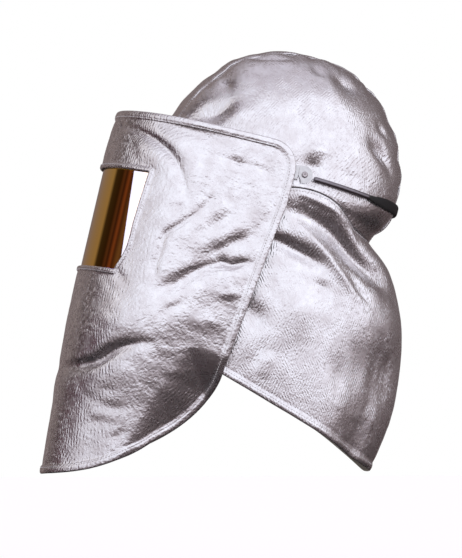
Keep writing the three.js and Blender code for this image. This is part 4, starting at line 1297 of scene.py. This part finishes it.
MASK_AREA = 0.160
SHEETS = (
    ("face_mask", (0.526, 0.423), 0.17, "hung", ["visor_frame_strip"]),
    ("neck_cape", (0.62, 0.26), 0.153, "hung", ["crown_side_left_cloth", "crown_side_right_cloth"]),
    ("crown_side_left", (0.45, 0.2), 0.055, "stretched", []),
    ("crown_side_right", (0.45, 0.2), 0.055, "stretched", []),
    ("crown_gusset", (0.068, 0.59), 0.038, "stretched", []),
)
for node, flat, area, held, rests in SHEETS:
    lines = sewing.get(node) or sewing[made[node].name]
    threads = sewn(node + "_stitches", lines, [grey_thread])
    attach(threads, "root")


# Floor, light and camera

def floor_plane(height):
    size = 6.0
    mesh = bpy.data.meshes.new("floor")
    corners = [(-size, -size, height), (size, -size, height), (size, size, height), (-size, size, height)]
    mesh.from_pydata(corners, [], [[0, 1, 2, 3]])
    floor = bpy.data.objects.new("floor", mesh)
    bpy.context.scene.collection.objects.link(floor)
    material, nodes, links, shader = node_material("pale_floor")
    shader.inputs["Base Color"].default_value = (0.95, 0.95, 0.96, 1)
    shader.inputs["Roughness"].default_value = 0.9
    shader.inputs["Emission Color"].default_value = (1, 1, 1, 1)
    shader.inputs["Emission Strength"].default_value = 0.5
    mesh.materials.append(material)
    floor.visible_glossy = False
    return floor


def world_light():
    world = bpy.data.worlds.new("studio")
    bpy.context.scene.world = world
    world.use_nodes = True
    nodes, links = world.node_tree.nodes, world.node_tree.links
    nodes.clear()
    out = nodes.new("ShaderNodeOutputWorld")
    place = nodes.new("ShaderNodeTexCoord").outputs["Generated"]
    parts = nodes.new("ShaderNodeSeparateXYZ")
    links.new(place, parts.inputs[0])

    def math_node(kind, a, b=None):
        node = nodes.new("ShaderNodeMath")
        node.operation = kind
        for k, value in enumerate((a, b)):
            if value is None:
                continue
            if isinstance(value, (int, float)):
                node.inputs[k].default_value = value
            else:
                links.new(value, node.inputs[k])
        return node.outputs[0]

    front = math_node("MULTIPLY", parts.outputs["Y"], -1.0)
    way = math_node("ARCTAN2", parts.outputs["X"], front)
    share = math_node("MULTIPLY_ADD", way, 1 / (2 * math.pi))
    share.node.inputs[2].default_value = 0.5
    rise = math_node("MULTIPLY_ADD", parts.outputs["Z"], 0.5)
    rise.node.inputs[2].default_value = 0.5
    round_it = ramp_node(nodes, links, share, WORLD_ROUND)
    upward = ramp_node(nodes, links, rise, WORLD_RISE)
    mixed = nodes.new("ShaderNodeMix")
    mixed.data_type = "RGBA"
    mixed.blend_type = "MULTIPLY"
    mixed.inputs["Factor"].default_value = 1.0
    links.new(round_it, mixed.inputs[6])
    links.new(upward, mixed.inputs[7])
    top = nodes.new("ShaderNodeMix")
    top.data_type = "RGBA"
    top.inputs[7].default_value = (*WORLD_TOP, 1)
    links.new(ramp_node(nodes, links, rise, WORLD_TOP_FROM), top.inputs["Factor"])
    links.new(mixed.outputs[2], top.inputs[6])
    studio = nodes.new("ShaderNodeBackground")
    studio.inputs["Strength"].default_value = WORLD_STRENGTH
    links.new(top.outputs[2], studio.inputs["Color"])
    white = nodes.new("ShaderNodeBackground")
    white.inputs["Color"].default_value = (1, 1, 1, 1)
    path = nodes.new("ShaderNodeLightPath")
    choose = nodes.new("ShaderNodeMixShader")
    links.new(path.outputs["Is Camera Ray"], choose.inputs[0])
    links.new(studio.outputs[0], choose.inputs[1])
    links.new(white.outputs[0], choose.inputs[2])
    links.new(choose.outputs[0], out.inputs["Surface"])


def around(degrees):
    return (degrees + 180) / 360


WORLD_STRENGTH = 1.0
WORLD_ROUND = (
    (around(-180), (0.24, 0.195, 0.195)),
    (around(-140), (0.15, 0.12, 0.12)),
    (around(-105), (0.17, 0.132, 0.13)),
    (around(-42), (0.27, 0.215, 0.2)),
    (around(-36), (0.035, 0.024, 0.02)),
    (around(-24), (0.025, 0.013, 0.012)),
    (around(-19), (0.08, 0.034, 0.04)),
    (around(-15), (0.03, 0.012, 0.02)),
    (around(-10), (0.16, 0.055, 0.06)),
    (around(-6), (0.05, 0.02, 0.03)),
    (around(1), (0.13, 0.075, 0.1)),
    (around(9), (0.05, 0.028, 0.035)),
    (around(13), (0.7, 0.66, 0.7)),
    (around(30), (0.74, 0.72, 0.77)),
    (around(52), (1.0, 1.0, 1.08)),
    (around(144), (1.12, 1.12, 1.21)),
    (around(161), (0.92, 0.88, 0.93)),
    (around(174), (0.38, 0.33, 0.34)),
)
WORLD_RISE = (
    (0.0, (0.045, 0.028, 0.028)),
    (0.16, (0.05, 0.036, 0.034)),
    (0.27, (0.125, 0.092, 0.088)),
    (0.36, (0.42, 0.355, 0.345)),
    (0.45, (0.87, 0.845, 0.85)),
    (0.52, (1.0, 1.0, 1.0)),
)
WORLD_TOP = (0.62, 0.58, 0.64)
WORLD_TOP_FROM = ((0.84, (0, 0, 0)), (0.97, (1, 1, 1)))
world_light()
floor_plane(-0.62)



def strip_light(name, middle, toward, distance, lean, size, glow, colour, receivers):
    """A soft strip that only some pieces reflect, square to a direction and leaning in its plane."""
    data = bpy.data.lights.new(name, "AREA")
    data.shape = "RECTANGLE"
    data.size, data.size_y = size
    data.energy = glow * math.pi * size[0] * size[1]
    data.color = colour
    light = bpy.data.objects.new(name, data)
    bpy.context.scene.collection.objects.link(light)
    toward = Vector(toward).normalized()
    turn = toward.to_track_quat("Z", "Y") @ Quaternion((0, 0, 1), math.radians(lean))
    light.location = Vector(middle) + toward * distance
    light.rotation_euler = turn.to_euler()
    light.visible_camera = False
    group = bpy.data.collections.new(name + "_receivers")
    for piece in receivers:
        group.objects.link(piece)
    light.light_linking.receiver_collection = group
    return light


def direction(way, rise):
    """The way to a place at an angle round the hood from its front, and at a height angle."""
    level = math.cos(math.radians(rise))
    way = math.radians(way)
    return Vector((math.sin(way) * level, -math.cos(way) * level, math.sin(math.radians(rise))))


VISOR_STRIP = (0.35, 1.0)
VISOR_STRIP_LEAN = 31
STRIP_SIDE = 1
STRIP_LEAN_SIGN = 1
visor_point = Vector((shield_in_row(plain_mask(78.9, 125.0)) * 0.001).tolist())
visor_way = direction(3, 17)
beside = visor_way.cross(Vector((0, 0, 1))).normalized()
above = beside.cross(visor_way)
lean = math.radians(VISOR_STRIP_LEAN)
right = -beside * math.cos(lean) + above * math.sin(lean)
strip_light("visor_strip", visor_point + right * (VISOR_STRIP[0] / 2) * STRIP_SIDE, visor_way, 0.3,
            STRIP_LEAN_SIGN * VISOR_STRIP_LEAN, VISOR_STRIP, 15, (0.068, 0.113, 0.9), [made["gold_visor"]])
cloth_pieces = [made[node] for node in
                ("face_mask", "crown_side_left", "crown_side_right", "crown_gusset", "neck_cape")]
strip_light("front_soft", (0, -0.1, -0.27), direction(4, 26), 2.5, 0, (1.1, 1.5), 0.62, (1, 1, 1),
            cloth_pieces)

target = Vector((0, -0.049, -0.2601))
azimuth, elevation, distance = math.radians(80), math.radians(-2), 4.0
level = math.cos(elevation)
toward = Vector((math.sin(azimuth) * level, -math.cos(azimuth) * level, math.sin(elevation)))
camera_data = bpy.data.cameras.new("camera")
camera_data.sensor_width = 36
camera_data.lens = 36 * distance / (0.00115 * 558)
camera_data.clip_end = 30
camera = bpy.data.objects.new("camera", camera_data)
bpy.context.scene.collection.objects.link(camera)
camera.location = target + toward * distance
camera.rotation_euler = (-toward).to_track_quat("-Z", "Y").to_euler()
bpy.context.scene.camera = camera
bpy.context.scene.view_settings.view_transform = "Standard"
